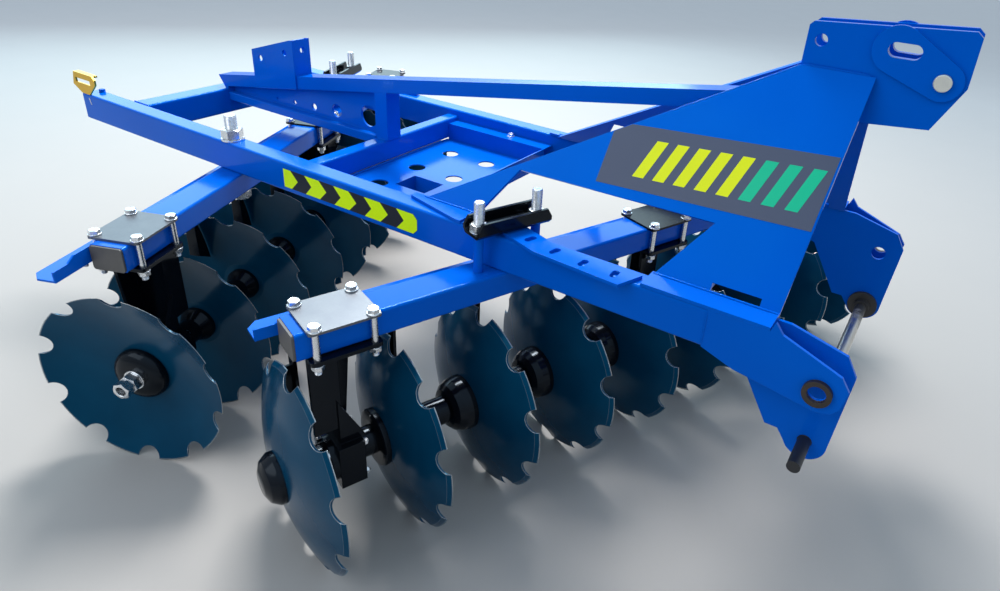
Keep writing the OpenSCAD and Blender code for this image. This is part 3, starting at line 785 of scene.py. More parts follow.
def hexagon(across: float, height: float, bore: float = 0.0, both: bool = False) -> Shape:
    """A nut or bolt head with the turned corners of a real one.

    Args:
        across: Size across the flats.
        height: Its height.
        bore: Diameter of the hole, or 0 for a head.
        both: Whether both faces are chamfered.

    Returns:
        Points and faces, from z = 0.
    """
    sides = 48
    crown = across * 0.475
    slope = math.tan(math.radians(28))
    corners: list[list[tuple[float, float]]] = []
    for i in range(sides):
        # Angle from the middle of the nearest flat, in degrees
        fold = (math.degrees(math.tau * i / sides) % 60.0) - 30.0
        radius = across / 2 / math.cos(math.radians(fold))
        drop = (radius - crown) * slope
        foot = [(crown, 0.0), (radius, drop)] if both else [(radius, 0.0), (radius, 0.0)]
        corners.append([*foot, (radius, height - drop), (crown, height)])
    rows = [[corner[k] for corner in corners] for k in range(4)]
    if bore:
        inner = bore / 2
        lip = min(inner * 0.1, 1.2)
        inside = [(inner + lip, height), (inner, height - lip), (inner, 0.0)]
    else:
        dimple_r, dimple_z = crown * 0.86, height - 0.4
        inside = [(dimple_r, dimple_z), (0.0, dimple_z)]
    rows.extend([spot] * sides for spot in inside)
    points = [
        spoke(radius, math.tau * i / sides, z) for row in rows for i, (radius, z) in enumerate(row)
    ]
    return points, skin(len(rows), sides)


def threaded(
    diameter: float, pitch: float, length: float, sides: int, depth: float = 0.0
) -> Shape:
    """A threaded rod with a chamfered top.

    Args:
        diameter: Outer diameter.
        pitch: Rise of one turn.
        length: Height, from z = 0.
        sides: Faces round the rod.
        depth: Depth of the thread, or 0 for the usual one.

    Returns:
        Points and faces.
    """
    rows_per_turn = 4
    steps = max(2, int(round(length / pitch * rows_per_turn)))
    depth = depth or pitch * 0.55
    outer = diameter / 2
    chamfer, steepness = pitch * 0.8, 0.9
    points = []
    for row in range(steps + 1):
        z = length * row / steps
        tip = outer - max(0.0, z - length + chamfer) * steepness
        for i in range(sides):
            phase = (z / pitch - i / sides) % 1.0
            wave = abs(phase * 2.0 - 1.0)
            points.append(spoke(min(outer - depth * wave, tip), math.tau * i / sides, z))
    points.append(Vector((0.0, 0.0, length)))
    faces = skin(steps + 1, sides)
    top = steps * sides
    faces.extend((top + i, top + (i + 1) % sides, len(points) - 1) for i in range(sides))
    return points, faces


def slab(outline: Sequence[tuple[float, float]], thickness: float) -> Shape:
    """A flat plate from an outline of x and y, from z = 0 up.

    Args:
        outline: Corners, anticlockwise.
        thickness: Its thickness.

    Returns:
        Points and faces.
    """
    count = len(outline)
    points = [Vector((x, y, z)) for z in (0.0, thickness) for x, y in outline]
    ends = [tuple(reversed(range(count))), tuple(range(count, 2 * count))]
    return points, ends + skin(2, count)


def bead(start: Point, end: Point, radius: float) -> Shape:
    """A weld bead between two points, with its ripples and blunt ends.

    Args:
        start: First end.
        end: Other end.
        radius: Half its width.

    Returns:
        Points and faces.
    """
    sides = 8
    ripple = 2.6
    crest, trough = 0.12, -0.1
    blunt, swell = 0.35, 8.0
    sways = ((0.35, 0.9), (0.25, 0.37))
    first, last = Vector(start), Vector(end)
    run = last - first
    steps = max(3, int(run.length / ripple * 2))
    ahead = run.normalized()
    side = ahead.orthogonal().normalized()
    up = ahead.cross(side)
    points = []
    for row in range(steps + 1):
        share = row / steps
        taper = min(1.0, blunt + swell * min(share, 1.0 - share))
        size = radius * taper * (1.0 + (crest if row % 2 else trough))
        sway = sum(reach * math.sin(row * beat) for reach, beat in sways)
        centre = first + run * share + side * sway
        for i in range(sides):
            angle = math.tau * i / sides
            points.append(centre + (side * math.cos(angle) + up * math.sin(angle)) * size)
    faces = skin(steps + 1, sides)
    faces.append(tuple(reversed(range(sides))))
    faces.append(tuple(range(steps * sides, (steps + 1) * sides)))
    return points, faces


@dataclass(frozen=True)
class Screw:
    """Sizes of one bolt with its washer, its nut and its thread.

    Across is the size over the flats, hole and rim are the washer's inner and outer radii, and
    washer, head and nut are heights. Bore is the thread's diameter, pitch its rise in one turn, and
    sides the faces round it.
    """

    across: float
    hole: float = 0.0
    rim: float = 0.0
    washer: float = 0.0
    head: float = 0.0
    nut: float = 0.0
    bore: float = 0.0
    pitch: float = 0.0
    sides: int = 18

    def seat(self) -> Shape:
        """Its washer."""
        return ring(self.hole, self.rim, self.washer)

    def cap(self) -> Shape:
        """Its head."""
        return hexagon(self.across, self.head)

    def collar(self) -> Shape:
        """Its nut."""
        return hexagon(self.across, self.nut, self.bore, both=True)

    def tail(self, length: float) -> Shape:
        """Its threaded end."""
        return threaded(self.bore, self.pitch, length, self.sides)


@dataclass
class Draft:
    """Shapes gathered for one piece."""

    points: list[Vector] = field(default_factory=list)
    faces: list[Face] = field(default_factory=list)
    marks: list[int] = field(default_factory=list)

    def add(self, shape: Shape, pose: Matrix | None = None, mark: int = 0) -> None:
        """Adds a shape.

        Args:
            shape: Its points and faces.
            pose: Where it goes.
            mark: Number of its finish in the piece's list.
        """
        points, faces = shape
        first = len(self.points)
        flip = pose is not None and pose.to_3x3().determinant() < 0
        self.points.extend(pose @ p if pose is not None else p for p in points)
        for face in faces:
            order = reversed(face) if flip else face
            self.faces.append(tuple(first + i for i in order))
            self.marks.append(mark)

    def make(
        self,
        name: str,
        body: Body,
        box: Paintbox,
        finishes: Sequence[Finish],
        crease: float = 32.0,
    ) -> bpy.types.Object:
        """Makes the piece, and lets it ride on its body.

        Args:
            name: The piece's name.
            body: The body that carries it.
            box: The finishes' materials.
            finishes: Its finishes, in the order of their numbers.
            crease: Angle over which an edge stays sharp, in degrees.

        Returns:
            The new object.
        """
        mesh = bpy.data.meshes.new(name)
        placed = [(p - ORIGIN) * MM for p in self.points]
        mesh.from_pydata(placed, [], self.faces)
        for finish in finishes:
            mesh.materials.append(box.get(finish))
        mesh.polygons.foreach_set("material_index", self.marks)
        mesh.validate()
        mesh.shade_smooth()
        mesh.set_sharp_from_angle(angle=math.radians(crease))
        piece = bpy.data.objects.new(name, mesh)
        bpy.context.scene.collection.objects.link(piece)
        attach(piece, body.value)
        mesh.calc_loop_triangles()
        LOG.info("%s rides on %s, %d triangles", name, body.value, len(mesh.loop_triangles))
        return piece


def about(angle: float) -> Matrix:
    """A turn about Z, in radians."""
    return Matrix.Rotation(angle, 4, "Z")


def at(x: float, y: float, z: float, turn: Matrix | None = None) -> Matrix:
    """A pose at a place.

    Args:
        x: Place along the machine.
        y: Place across it.
        z: Height.
        turn: A turn to make first.

    Returns:
        The pose.
    """
    pose = Matrix.Translation((x, y, z))
    return pose @ turn if turn is not None else pose


# Turns that bring a shape's Z axis to point down, to -Y and to +Y
DOWN = Matrix.Rotation(math.pi, 4, "X")
TO_MINUS_Y = Matrix.Rotation(math.pi / 2, 4, "X")
TO_PLUS_Y = Matrix.Rotation(-math.pi / 2, 4, "X")


# The machine


@dataclass(frozen=True)
class Rail:
    """Sizes of the frame that several sub-assemblies share."""

    outer: float = 400.0
    inner: float = 340.0
    top: float = 724.0
    bottom: float = 634.0


@dataclass(frozen=True)
class Gang:
    """One gang: where its axis lies, and which bodies carry its pieces.

    A bay is the number of the gap between two discs, counted along the axis. The side is 1 for the
    front gang and -1 for the rear one, which is its mirror image.
    """

    name: str
    angle: float
    axis_x: float
    first_rim: float
    bays: tuple[int, int, int]
    side: int
    body: Body
    rotor: Body
    pitch: float = 242.0
    discs: int = 9
    axle_z: float = 253.12
    beam_top: float = 633.6
    beam_h: float = 66.0
    rail_y: float = 370.0
    clamp_shift: float = 17.0

    def pose(self, n: float, t: float, z: float, turn: Matrix | None = None) -> Matrix:
        """A pose in the gang's own frame.

        Args:
            n: Ahead of the gang's axis.
            t: Along the axis, towards the hollow faces.
            z: Height.
            turn: A turn to make first.

        Returns:
            The pose in the machine's frame.
        """
        slant = about(math.radians(-self.side * self.angle))
        mirror = Matrix.Scale(self.side, 4, (0.0, 1.0, 0.0))
        pose = at(self.axis_x, 0.0, 0.0) @ slant @ mirror @ at(n, t, z)
        return pose @ turn if turn is not None else pose

    @property
    def pivot_t(self) -> float:
        """Place of the pivot along the axis."""
        return self.rail_y / math.cos(math.radians(self.angle))

    @property
    def clamp_t(self) -> float:
        """Place of the angle clamp along the axis."""
        return self.clamp_shift - self.pivot_t

    def hanger_t(self, bay: int) -> float:
        """Place of a hanger's bearing along the axis."""
        return self.first_rim + (bay + 0.5) * self.pitch


GANGS = (
    Gang("front", 21.1, 1883.0, -921.0, (0, 4, 7), 1, Body.FRONT_GANG, Body.FRONT_ROTOR),
    Gang("rear", 21.8, 606.0, -949.0, (0, 3, 7), -1, Body.REAR_GANG, Body.REAR_ROTOR),
)


@dataclass(frozen=True)
class Carcass:
    """The CAD nodes that stay, each with its finish."""

    blue: tuple[str, ...] = (
        "near_rail", "far_rail", "rear_cross_tube", "middle_cross_tube", "front_cross_tube",
        "weight_tray", "spine_tube", "spine_web", "brace_post", "top_brace", "rear_bracket",
        "near_tower_plate", "far_tower_plate", "top_link_plates", "near_hitch_plates",
        "far_hitch_plates", "angle_straps", "front_beam", "rear_beam", "front_scraper_bar",
        "rear_scraper_bar",
    )
    black: tuple[str, ...] = (
        "front_hangers", "rear_hangers", "front_scrapers", "rear_scrapers", "front_angle_clamp",
        "rear_angle_clamp", "front_spools", "rear_spools",
    )
    others: tuple[tuple[str, Finish], ...] = (
        ("front_discs", Finish.DISC),
        ("rear_discs", Finish.DISC),
        ("front_clamp_plates", Finish.STEEL),
        ("rear_clamp_plates", Finish.STEEL),
        ("front_end_caps", Finish.CAP),
        ("rear_end_caps", Finish.CAP),
        ("lamp_brackets", Finish.AMBER),
        ("hitch_bushes", Finish.BUSH),
        ("cross_shaft", Finish.SHAFT),
        ("pivot_bolts", Finish.ZINC),
        ("top_link_pin", Finish.ZINC),
        ("front_hanger_bolts", Finish.ZINC),
        ("rear_hanger_bolts", Finish.ZINC),
        ("front_axle", Finish.BLACK),
        ("rear_axle", Finish.BLACK),
    )

    def dress(self, nodes: Mapping[str, bpy.types.Object], box: Paintbox) -> None:
        """Gives every CAD node its material.

        Args:
            nodes: The CAD objects by name.
            box: The finishes' materials.
        """
        pairs = [(name, Finish.BLUE) for name in self.blue]
        pairs += [(name, Finish.BLACK) for name in self.black]
        pairs += list(self.others)
        for name, finish in pairs:
            materials = nodes[name].data.materials
            if materials:
                materials[0] = box.get(finish)
            else:
                materials.append(box.get(finish))
        bare = sorted(set(nodes) - {name for name, _ in pairs})
        LOG.info("%d nodes dressed, left over: %s", len(pairs), bare)


@dataclass(frozen=True)
class HangerBolts:
    """Bolts that clamp the hangers to a gang's beam, with washers, nuts and threaded tails."""

    screw: Screw = Screw(
        across=24.0, hole=8.0, rim=15.0, washer=3.0, head=10.0, nut=11.0, bore=16.0, pitch=2.0
    )
    across_beam: float = 56.5
    along_beam: float = 64.0
    back: float = 7.0
    offset: float = 18.0
    plate: float = 6.0
    seat: float = 10.0
    tail: float = 26.0
    turns: tuple[int, int, int] = (17, 11, 29)

    def build(self, gang: Gang, box: Paintbox) -> None:
        """Makes one gang's bolts.

        Args:
            gang: The gang.
            box: The finishes' materials.
        """
        draft = Draft()
        screw = self.screw
        top = gang.beam_top + self.plate
        under = gang.beam_top - gang.beam_h - self.seat
        nut = under - screw.washer
        shank = [(screw.hole, 0), (screw.hole, top - under + screw.washer)]
        rod = turned(shank, sides=24)
        for bay, n, t in product(gang.bays, (-1, 1), (-1, 1)):
            spot = (
                n * self.across_beam - self.back,
                gang.hanger_t(bay) - self.offset + t * self.along_beam,
            )
            degrees = self.turns[0] * bay + self.turns[1] * (n > 0) + self.turns[2] * (t > 0)
            turn = about(math.radians(degrees))
            draft.add(screw.seat(), gang.pose(*spot, top))
            draft.add(screw.cap(), gang.pose(*spot, top + screw.washer, turn))
            draft.add(rod, gang.pose(*spot, under))
            draft.add(screw.seat(), gang.pose(*spot, nut))
            draft.add(screw.collar(), gang.pose(*spot, nut - screw.nut, turn))
            draft.add(screw.tail(self.tail), gang.pose(*spot, under, DOWN))
        piece = draft.make(f"{gang.name}_hanger_fasteners", gang.body, box, [Finish.ZINC])
        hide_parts(f"{gang.name}_hanger_bolts")


@dataclass(frozen=True)
class BearingBolts:
    """Hexagon bolts round a bearing, on the round flange and on the housing's other face."""

    screw: Screw = Screw(
        across=16.0, hole=6.0, rim=11.0, washer=1.6, head=7.0, nut=8.6, bore=10.0, pitch=1.5,
        sides=16,
    )
    flange_u: float = -72.0
    flange_r: float = 47.0
    face_u: float = 5.0
    corner: float = 45.0
    tail: float = 12.5
    turns: tuple[float, float] = (0.4, 0.9)

    def build(self, gang: Gang, box: Paintbox) -> None:
        """Makes one gang's bearing bolts.

        Args:
            gang: The gang.
            box: The finishes' materials.
        """
        draft = Draft()
        screw = self.screw
        near = self.flange_r * math.sqrt(0.5)
        for bay, i, j in product(gang.bays, (-1, 1), (-1, 1)):
            bearing = gang.hanger_t(bay)
            turn = about(self.turns[0] * i + self.turns[1] * j)
            flange = (i * near, bearing + self.flange_u, gang.axle_z + j * near)
            face = (i * self.corner, bearing + self.face_u, gang.axle_z + j * self.corner)
            draft.add(screw.cap(), gang.pose(*flange, TO_MINUS_Y @ turn))
            draft.add(screw.seat(), gang.pose(*face, TO_PLUS_Y))
            draft.add(screw.collar(), gang.pose(*face, TO_PLUS_Y @ turn))
            draft.add(screw.tail(self.tail), gang.pose(*face, TO_PLUS_Y))
        draft.make(f"{gang.name}_bearing_bolts", gang.body, box, [Finish.ZINC])


@dataclass(frozen=True)
class ScraperBolts:
    """The bolt through a scraper bar's flat leg near its last disc."""

    screw: Screw = Screw(
        across=19.0, hole=6.5, rim=13.0, washer=2.4, head=7.5, nut=10.0, bore=12.0, pitch=1.75
    )
    under_rim: float = 12.0
    bar_top: float = 592.6
    bar_t: float = 5.0
    n: float = -78.0
    t: float = 42.0
    tail: float = 22.0

    def build(self, gang: Gang, box: Paintbox) -> None:
        """Makes the bolt of one gang's scraper bar.

        Args:
            gang: The gang.
            box: The finishes' materials.
        """
        draft = Draft()
        screw = self.screw
        spot = (self.n, gang.first_rim + (gang.discs - 1) * gang.pitch - self.t)
        under = self.bar_top - self.bar_t
        washer = ring(screw.hole, self.under_rim, screw.washer)
        draft.add(screw.seat(), gang.pose(*spot, self.bar_top))
        draft.add(screw.cap(), gang.pose(*spot, self.bar_top + screw.washer))
        draft.add(washer, gang.pose(*spot, under, DOWN))
        draft.add(screw.collar(), gang.pose(*spot, under - screw.washer, DOWN))
        draft.add(screw.tail(self.tail), gang.pose(*spot, under, DOWN))
        draft.make(f"{gang.name}_scraper_bolts", gang.body, box, [Finish.ZINC])


@dataclass(frozen=True)
class ClampStuds:
    """Threaded tops, washers and nuts of an angle clamp's studs.

    The thread's root is wider than the plain stud, which is inside it.
    """

    spacing: float = 166.0
    floor: float = 740.4
    top: float = 815.0
    root: float = 12.05
    crest: float = 13.1
    pitch: float = 3.0
    sunk: float = 8.0
    across: float = 37.0
    nut: float = 17.6
    rim: float = 22.0
    washer: float = 3.0

    def build(self, gang: Gang, box: Paintbox) -> None:
        """Makes one gang's stud tops, which cover the plain ones.

        Args:
            gang: The gang.
            box: The finishes' materials.
        """
        draft = Draft()
        length = self.top - self.floor - self.sunk
        depth = self.crest - self.root
        rod = threaded(2 * self.crest, self.pitch, length, sides=24, depth=depth)
        nut = hexagon(self.across, self.nut, 2 * self.root, both=True)
        for t in (-self.spacing / 2, self.spacing / 2):
            place = gang.clamp_t + t
            draft.add(ring(self.root, self.rim, self.washer), gang.pose(0, place, self.floor))
            draft.add(nut, gang.pose(0, place, self.floor + self.washer))
            draft.add(rod, gang.pose(0, place, self.floor + self.sunk))
        draft.make(f"{gang.name}_clamp_stud_tops", gang.body, box, [Finish.ZINC])


@dataclass(frozen=True)
class PivotBolts:
    """Large bolts that the gangs turn on."""

    screw: Screw = Screw(
        across=55.0, hole=18.0, rim=33.0, washer=6.0, head=23.0, nut=29.0, bore=36.0, pitch=4.0,
        sides=32,
    )
    top: float = 800.0
    thread_from: float = 20.0
    foot_rim: float = 30.0
    foot_washer: float = 8.0
    shank_below: float = 10.0
    shank_above: float = 22.0

    def build(self, rail: Rail, box: Paintbox) -> None:
        """Makes both pivot bolts.

        Args:
            rail: The frame's sizes.
            box: The finishes' materials.
        """
        draft = Draft()
        screw = self.screw
        tail = screw.tail(self.top - rail.top - self.thread_from)
        foot = ring(screw.hole, self.foot_rim, self.foot_washer)
        for gang in GANGS:
            spot = gang.pose(0, gang.pivot_t, 0).translation[:2]
            under = gang.beam_top - gang.beam_h
            ends = (under - self.shank_below, rail.top + self.shank_above)
            draft.add(screw.seat(), at(*spot, rail.top))
            draft.add(screw.collar(), at(*spot, rail.top + screw.washer))
            draft.add(tail, at(*spot, rail.top + self.thread_from))
            draft.add(turned([(screw.hole, z) for z in ends]), at(*spot, 0))
            draft.add(foot, at(*spot, under - self.foot_washer))
            draft.add(screw.cap(), at(*spot, under - self.foot_washer, DOWN))
        piece = draft.make("pivot_bolt_set", Body.FRAME, box, [Finish.ZINC])
        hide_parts("pivot_bolts")


@dataclass(frozen=True)
class AxleEnds:
    """A gang's axle bar with its end bell, cone washer, nut and hollow end nut.

    The bell's profile and the cone's flat rim are radii and heights.
    """

    square: float = 30.0
    overhang: float = 6.0
    dish: float = 53.018
    disc: float = 5.0
    bell: Outline = (
        (61, 0), (61, 10.6), (60.2, 12), (48.8, 28.2), (47.6, 29.3), (29.4, 37.6), (28, 38), (0, 38)
    )
    cone: float = 34.0
    rim: Outline = ((67, 0), (73, 1.6), (74, 2.6))
    dome_foot: tuple[float, float] = (34.0, 8.0)
    dome_size: tuple[float, float] = (40.0, 26.0)
    dome_steps: int = 10
    nut: Screw = Screw(across=46.0, hole=15.0, rim=28.0, washer=5.0, nut=24.0, bore=30.0)
    nut_turn: float = 0.3
    end_nut: Screw = Screw(across=41.0, nut=24.0, bore=26.0)
    end_nut_from: float = 30.0
    end_nut_turn: float = 0.75
    thread_d: float = 29.0
    thread_pitch: float = 3.0
    thread_l: float = 14.0

    def build(self, gang: Gang, box: Paintbox) -> None:
        """Makes one gang's axle.

        Args:
            gang: The gang.
            box: The finishes' materials.
        """
        draft = Draft()
        start = gang.first_rim - self.dish - self.disc
        end = gang.first_rim + (gang.discs - 1) * gang.pitch - self.dish
        place = end + self.cone
        seat = place + self.nut.washer

        def along(t: float, turn: Matrix = TO_PLUS_Y) -> Matrix:
            """A pose on the axle at a place along it."""
            return gang.pose(0, t, gang.axle_z, turn)

        draft.add(self._bar(end - start), along(start - self.overhang), 1)
        draft.add(turned(self.bell, sides=56), along(start, TO_MINUS_Y), 1)
        draft.add(turned(self._cone(), sides=56), along(end), 1)
        draft.add(self.nut.seat(), along(place))
        draft.add(self.nut.collar(), along(seat, TO_PLUS_Y @ about(self.nut_turn)))
        turn = TO_PLUS_Y @ about(self.end_nut_turn)
        draft.add(self.end_nut.collar(), along(place + self.end_nut_from, turn))
        thread = threaded(self.thread_d, self.thread_pitch, self.thread_l, sides=28)
        draft.add(thread, along(seat))
        finishes = [Finish.ZINC, Finish.BLACK]
        piece = draft.make(f"{gang.name}_axle_dressed", gang.rotor, box, finishes)
        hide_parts(f"{gang.name}_axle")

    def _bar(self, length: float) -> Shape:
        """The square bar.

        Args:
            length: Length between the outer discs' outer faces.

        Returns:
            The bar, which reaches past both faces.
        """
        half = self.square / 2
        corners = [(-half, -half), (half, -half), (half, half), (-half, half)]
        return slab(corners, length + 2 * self.overhang)

    def _cone(self) -> list[tuple[float, float]]:
        """Profile of the cone washer: its flat rim, a quarter of an ellipse and its top.

        Returns:
            Radii and heights.
        """
        quarter = [i * math.pi / (2 * self.dome_steps) for i in range(self.dome_steps + 1)]
        (x, z), (wide, high) = self.dome_foot, self.dome_size
        dome = [(x + wide * math.cos(a), z + high * math.sin(a)) for a in quarter]
        return [*self.rim, *dome, (self.nut.hole, self.cone)]


@dataclass(frozen=True)
class ChevronTape:
    """Reflective arrow tape on the near rail's outer face."""

    start: float = 1006.0
    end: float = 1500.5
    low: float = 649.5
    high: float = 705.5
    first: float = 1093.0
    period: float = 112.6
    arrows: int = 5
    body: float = 56.0
    point: float = 27.0
    notch: float = 25.0
    cut: float = 13.0
    margin: float = 0.6
    start_margin: float = 0.5
    film: float = 0.35
    arrow_film: float = 0.25

    def build(self, rail: Rail, box: Paintbox) -> None:
        """Makes the black film and its arrows.

        Args:
            rail: The frame's sizes.
            box: The finishes' materials.
        """
        draft = Draft()
        film = [(self.start, self.low), *self._blunt(), (self.start, self.high)]
        draft.add(slab(film, self.film), at(0, -rail.outer, 0, TO_MINUS_Y))
        middle = (self.low + self.high) / 2
        low, high = self.low + self.margin, self.high - self.margin
        for k in range(self.arrows):
            tail = self.first + (k - 1) * self.period
            nose = tail + self.body
            front = [(nose, low), (nose + self.point, middle), (nose, high)]
            back = [(tail, high), (tail + self.notch, middle), (tail, low)]
            if k == 0:
                straight = self.start + self.start_margin
                back = [(straight, high), (straight, low)]
            if k == self.arrows - 1:
                front = self._blunt(self.margin)
            pose = at(0, -rail.outer - self.film, 0, TO_MINUS_Y)
            draft.add(slab([*front, *back], self.arrow_film), pose, 1)
        draft.make("chevron_tape", Body.FRAME, box, [Finish.TAPE_BLACK, Finish.TAPE_YELLOW])

    def _blunt(self, less: float = 0.0) -> list[tuple[float, float]]:
        """The tape's front end with its corners cut off.

        Args:
            less: How far inside the tape's edge.

        Returns:
            Its four corners, from the lower one up.
        """
        x, low, high = self.end - less, self.low + less, self.high - less
        return [
            (x - self.cut, low), (x, low + self.cut), (x, high - self.cut), (x - self.cut, high)
        ]


@dataclass(frozen=True)
class TowerPanel:
    """Plain grey panel with slanted bars on the near tower plate, cut by the plate's rear edge."""

    outline: Outline = (
        (1914.0, 167.0), (2402.5, 187.0), (2410.0, 350.0), (1953.0, 318.5), (1914.5, 292.5)
    )
    lean: float = 33.606
    film: float = 0.4
    bar_film: float = 0.2
    yellow: int = 5
    green: int = 3
    first: float = 1995.0
    step: float = 49.0
    width: float = 27.0
    slant: float = 30.0
    low: float = 0.2
    high: float = 0.8

    def build(self, rail: Rail, box: Paintbox) -> None:
        """Makes the panel.

        Args:
            rail: The frame's sizes.
            box: The finishes' materials.
        """
        draft = Draft()
        stand = Matrix.Rotation(math.radians(90 - self.lean), 4, "X")
        pose = at(0, -rail.inner, rail.top, stand)
        draft.add(slab(self.outline, self.film), pose)
        lift = pose @ at(0, 0, self.film)
        for k in range(self.yellow + self.green):
            draft.add(slab(self._bar(k), self.bar_film), lift, 1 if k < self.yellow else 2)
        finishes = [Finish.PANEL_GREY, Finish.PANEL_YELLOW, Finish.PANEL_GREEN]
        draft.make("near_tower_panel", Body.FRAME, box, finishes)

    def _height(self, x: float, share: float) -> float:
        """Height on the panel at a share of the way from its lower edge to its upper one.

        Args:
            x: Place along the machine.
            share: Share of the panel's height.

        Returns:
            The height along the plate.
        """
        (x0, low0), (x1, low1), (_, high1), (x3, high3) = self.outline[:4]
        way = (x - x0) / (x1 - x0)
        low = low0 + (low1 - low0) * way
        high = high3 + (high1 - high3) * (x - x3) / (x1 - x3)
        return low + (high - low) * share

    def _bar(self, k: int) -> list[tuple[float, float]]:
        """Outline of one slanted bar.

        Args:
            k: Its number, from the rear.

        Returns:
            Its corners.
        """
        x = self.first + k * self.step
        feet = [(x, self.low), (x + self.width, self.low)]
        tops = [(x + self.width + self.slant, self.high), (x + self.slant, self.high)]
        return [(place, self._height(place, share)) for place, share in feet + tops]


@dataclass(frozen=True)
class LampScrew:
    """Small parts that hold the lamp plate's holder to the near rail."""

    screw: Screw = Screw(across=17.0, hole=5.0, rim=10.5, washer=1.8, head=9.0)
    bolt: Point = (37.7, -352.9, 724.0)
    tab: Outline = ((43.0, 690.0), (47.0, 690.0), (41.0, 713.0), (36.0, 713.0))
    tab_t: float = 1.2

    def build(self, rail: Rail, box: Paintbox) -> None:
        """Makes the painted bolt on the rail's top and the bright tab on its side.

        Args:
            rail: The frame's sizes.
            box: The finishes' materials.
        """
        draft = Draft()
        draft.add(self.screw.seat(), at(*self.bolt))
        draft.add(self.screw.cap(), at(*self.bolt) @ at(0, 0, self.screw.washer))
        draft.add(slab(self.tab, self.tab_t), at(0, -rail.outer, 0, TO_MINUS_Y), 1)
        draft.make("lamp_holder_fasteners", Body.FRAME, box, [Finish.BLUE, Finish.ZINC])


@dataclass(frozen=True)
class TrayFittings:
    """Bolts on the weight tray's ledges and the folded walls under its cut-out."""

    screw: Screw = Screw(across=18.0, hole=5.5, rim=13.0, washer=2.2, head=8.0)
    bolts: tuple[Point, ...] = ((1296.0, -322.0, 688.0), (1296.0, 322.0, 688.0))
    bolt_turn: float = 0.3
    cut_x: tuple[float, float] = (1195.0, 1308.0)
    cut_y: tuple[float, float] = (-148.0, -59.0)
    floor: float = 627.0
    depth: float = 60.0
    wall: float = 3.0

    def build(self, box: Paintbox) -> None:
        """Makes the bolts and the four walls.

        Args:
            box: The finishes' materials.
        """
        draft = Draft()
        for bolt in self.bolts:
            lift = at(0, 0, self.screw.washer, about(self.bolt_turn))
            draft.add(self.screw.seat(), at(*bolt), 1)
            draft.add(self.screw.cap(), at(*bolt) @ lift, 1)
        (x0, x1), (y0, y1), wall = self.cut_x, self.cut_y, self.wall
        sides = (
            (x0 - wall, x0, y0 - wall, y1 + wall),
            (x1, x1 + wall, y0 - wall, y1 + wall),
            (x0, x1, y0 - wall, y0),
            (x0, x1, y1, y1 + wall),
        )
        for left, right, low, high in sides:
            outline = [(left, low), (right, low), (right, high), (left, high)]
            draft.add(slab(outline, self.depth), at(0, 0, self.floor - self.depth))
        draft.make("tray_fittings", Body.FRAME, box, [Finish.BLUE, Finish.ZINC])


@dataclass(frozen=True)
class FrameWelds:
    """Weld beads of the frame and the headstock.

    A bead is its two ends and its radius. The beads of the headstock and the spine lie on both
    sides, and are given here for the far one.
    """

    tubes: tuple[Point, ...] = (
        # Rear face, front face and drop below the rails of each cross tube
        (203.0, 278.0, 0.0),
        (1004.0, 1052.0, 20.0),
        (2160.0, 2208.0, 0.0),
    )
    tube_top: float = 2.6
    tube_top_sunk: float = 0.5
    tube_side: float = 3.0
    side_foot: float = 3.0
    side_head: float = 2.0
    head: tuple[Run, ...] = (
        # Tower plate on its feet, behind its window and ahead of it
        ((1476.0, 341.5, 732.5), (1634.0, 341.5, 732.5), 2.8),
        ((2122.0, 341.5, 732.5), (2396.0, 341.5, 732.5), 2.8),
        # Feet on the rail: front end of the tapered one, outer edge of the square one
        ((1640.0, 399.0, 725.0), (1640.0, 341.5, 731.0), 1.8),
        ((2120.0, 399.0, 725.0), (2396.0, 399.0, 725.0), 1.6),
        # Front end of the rail on the hitch plates, up its outer corner and across its top
        ((2270.0, 399.4, 638.0), (2270.0, 399.4, 720.0), 2.6),
        ((2270.0, 396.0, 723.4), (2270.0, 344.0, 723.4), 2.6),
        # Link plate on the tower plate's upper edge, and on the front end of the top brace
        ((2274.0, 40.0, 1163.0), (2413.0, 40.0, 1163.0), 4.6),
        ((2266.0, 31.0, 1062.0), (2266.0, 31.0, 1094.0), 2.4),
    )
    # Floor of the weight tray on the middle cross tube
    tray: Run = ((1053.0, -284.0, 632.0), (1053.0, 284.0, 632.0), 3.3)
    spine: tuple[Run, ...] = (
        # Web on the spine tube, post on the middle cross tube, top brace on the rear cross tube
        ((290.0, 4.5, 711.0), (1004.0, 4.5, 711.0), 2.2),
        ((1012.0, 30.5, 705.0), (1052.0, 30.5, 705.0), 2.2),
        ((264.0, 30.5, 725.0), (276.0, 30.5, 725.0), 2.2),
    )

    def build(self, rail: Rail, box: Paintbox) -> None:
        """Makes the beads.

        Args:
            rail: The frame's sizes.
            box: The finishes' materials.
        """
        draft = Draft()
        runs = [*self._tube_runs(rail), *self._both(self.head), self.tray, *self._both(self.spine)]
        for run in runs:
            draft.add(bead(*run))
        draft.make("frame_weld_beads", Body.FRAME, box, [Finish.BLUE], crease=60.0)

    def _tube_runs(self, rail: Rail) -> list[Run]:
        """Beads between the cross tubes and the rails, over and beside each tube.

        Args:
            rail: The frame's sizes.

        Returns:
            The beads.
        """
        runs: list[Run] = []
        low = rail.bottom + self.side_foot
        for y, (rear, front, drop) in product((-rail.inner, rail.inner), self.tubes):
            high = rail.top - drop
            over = high - self.tube_top_sunk
            runs.append(((rear, y, over), (front, y, over), self.tube_top))
            for x in (rear, front):
                runs.append(((x, y, low), (x, y, high - self.side_head), self.tube_side))
        return runs

    def _both(self, runs: Sequence[Run]) -> list[Run]:
        """Beads on the near side, then on the far side.

        Args:
            runs: The far side's beads.

        Returns:
            The beads of both sides.
        """
        return [
            ((x0, side * y0, z0), (x1, side * y1, z1), radius)
            for side, ((x0, y0, z0), (x1, y1, z1), radius) in product((-1, 1), runs)
        ]


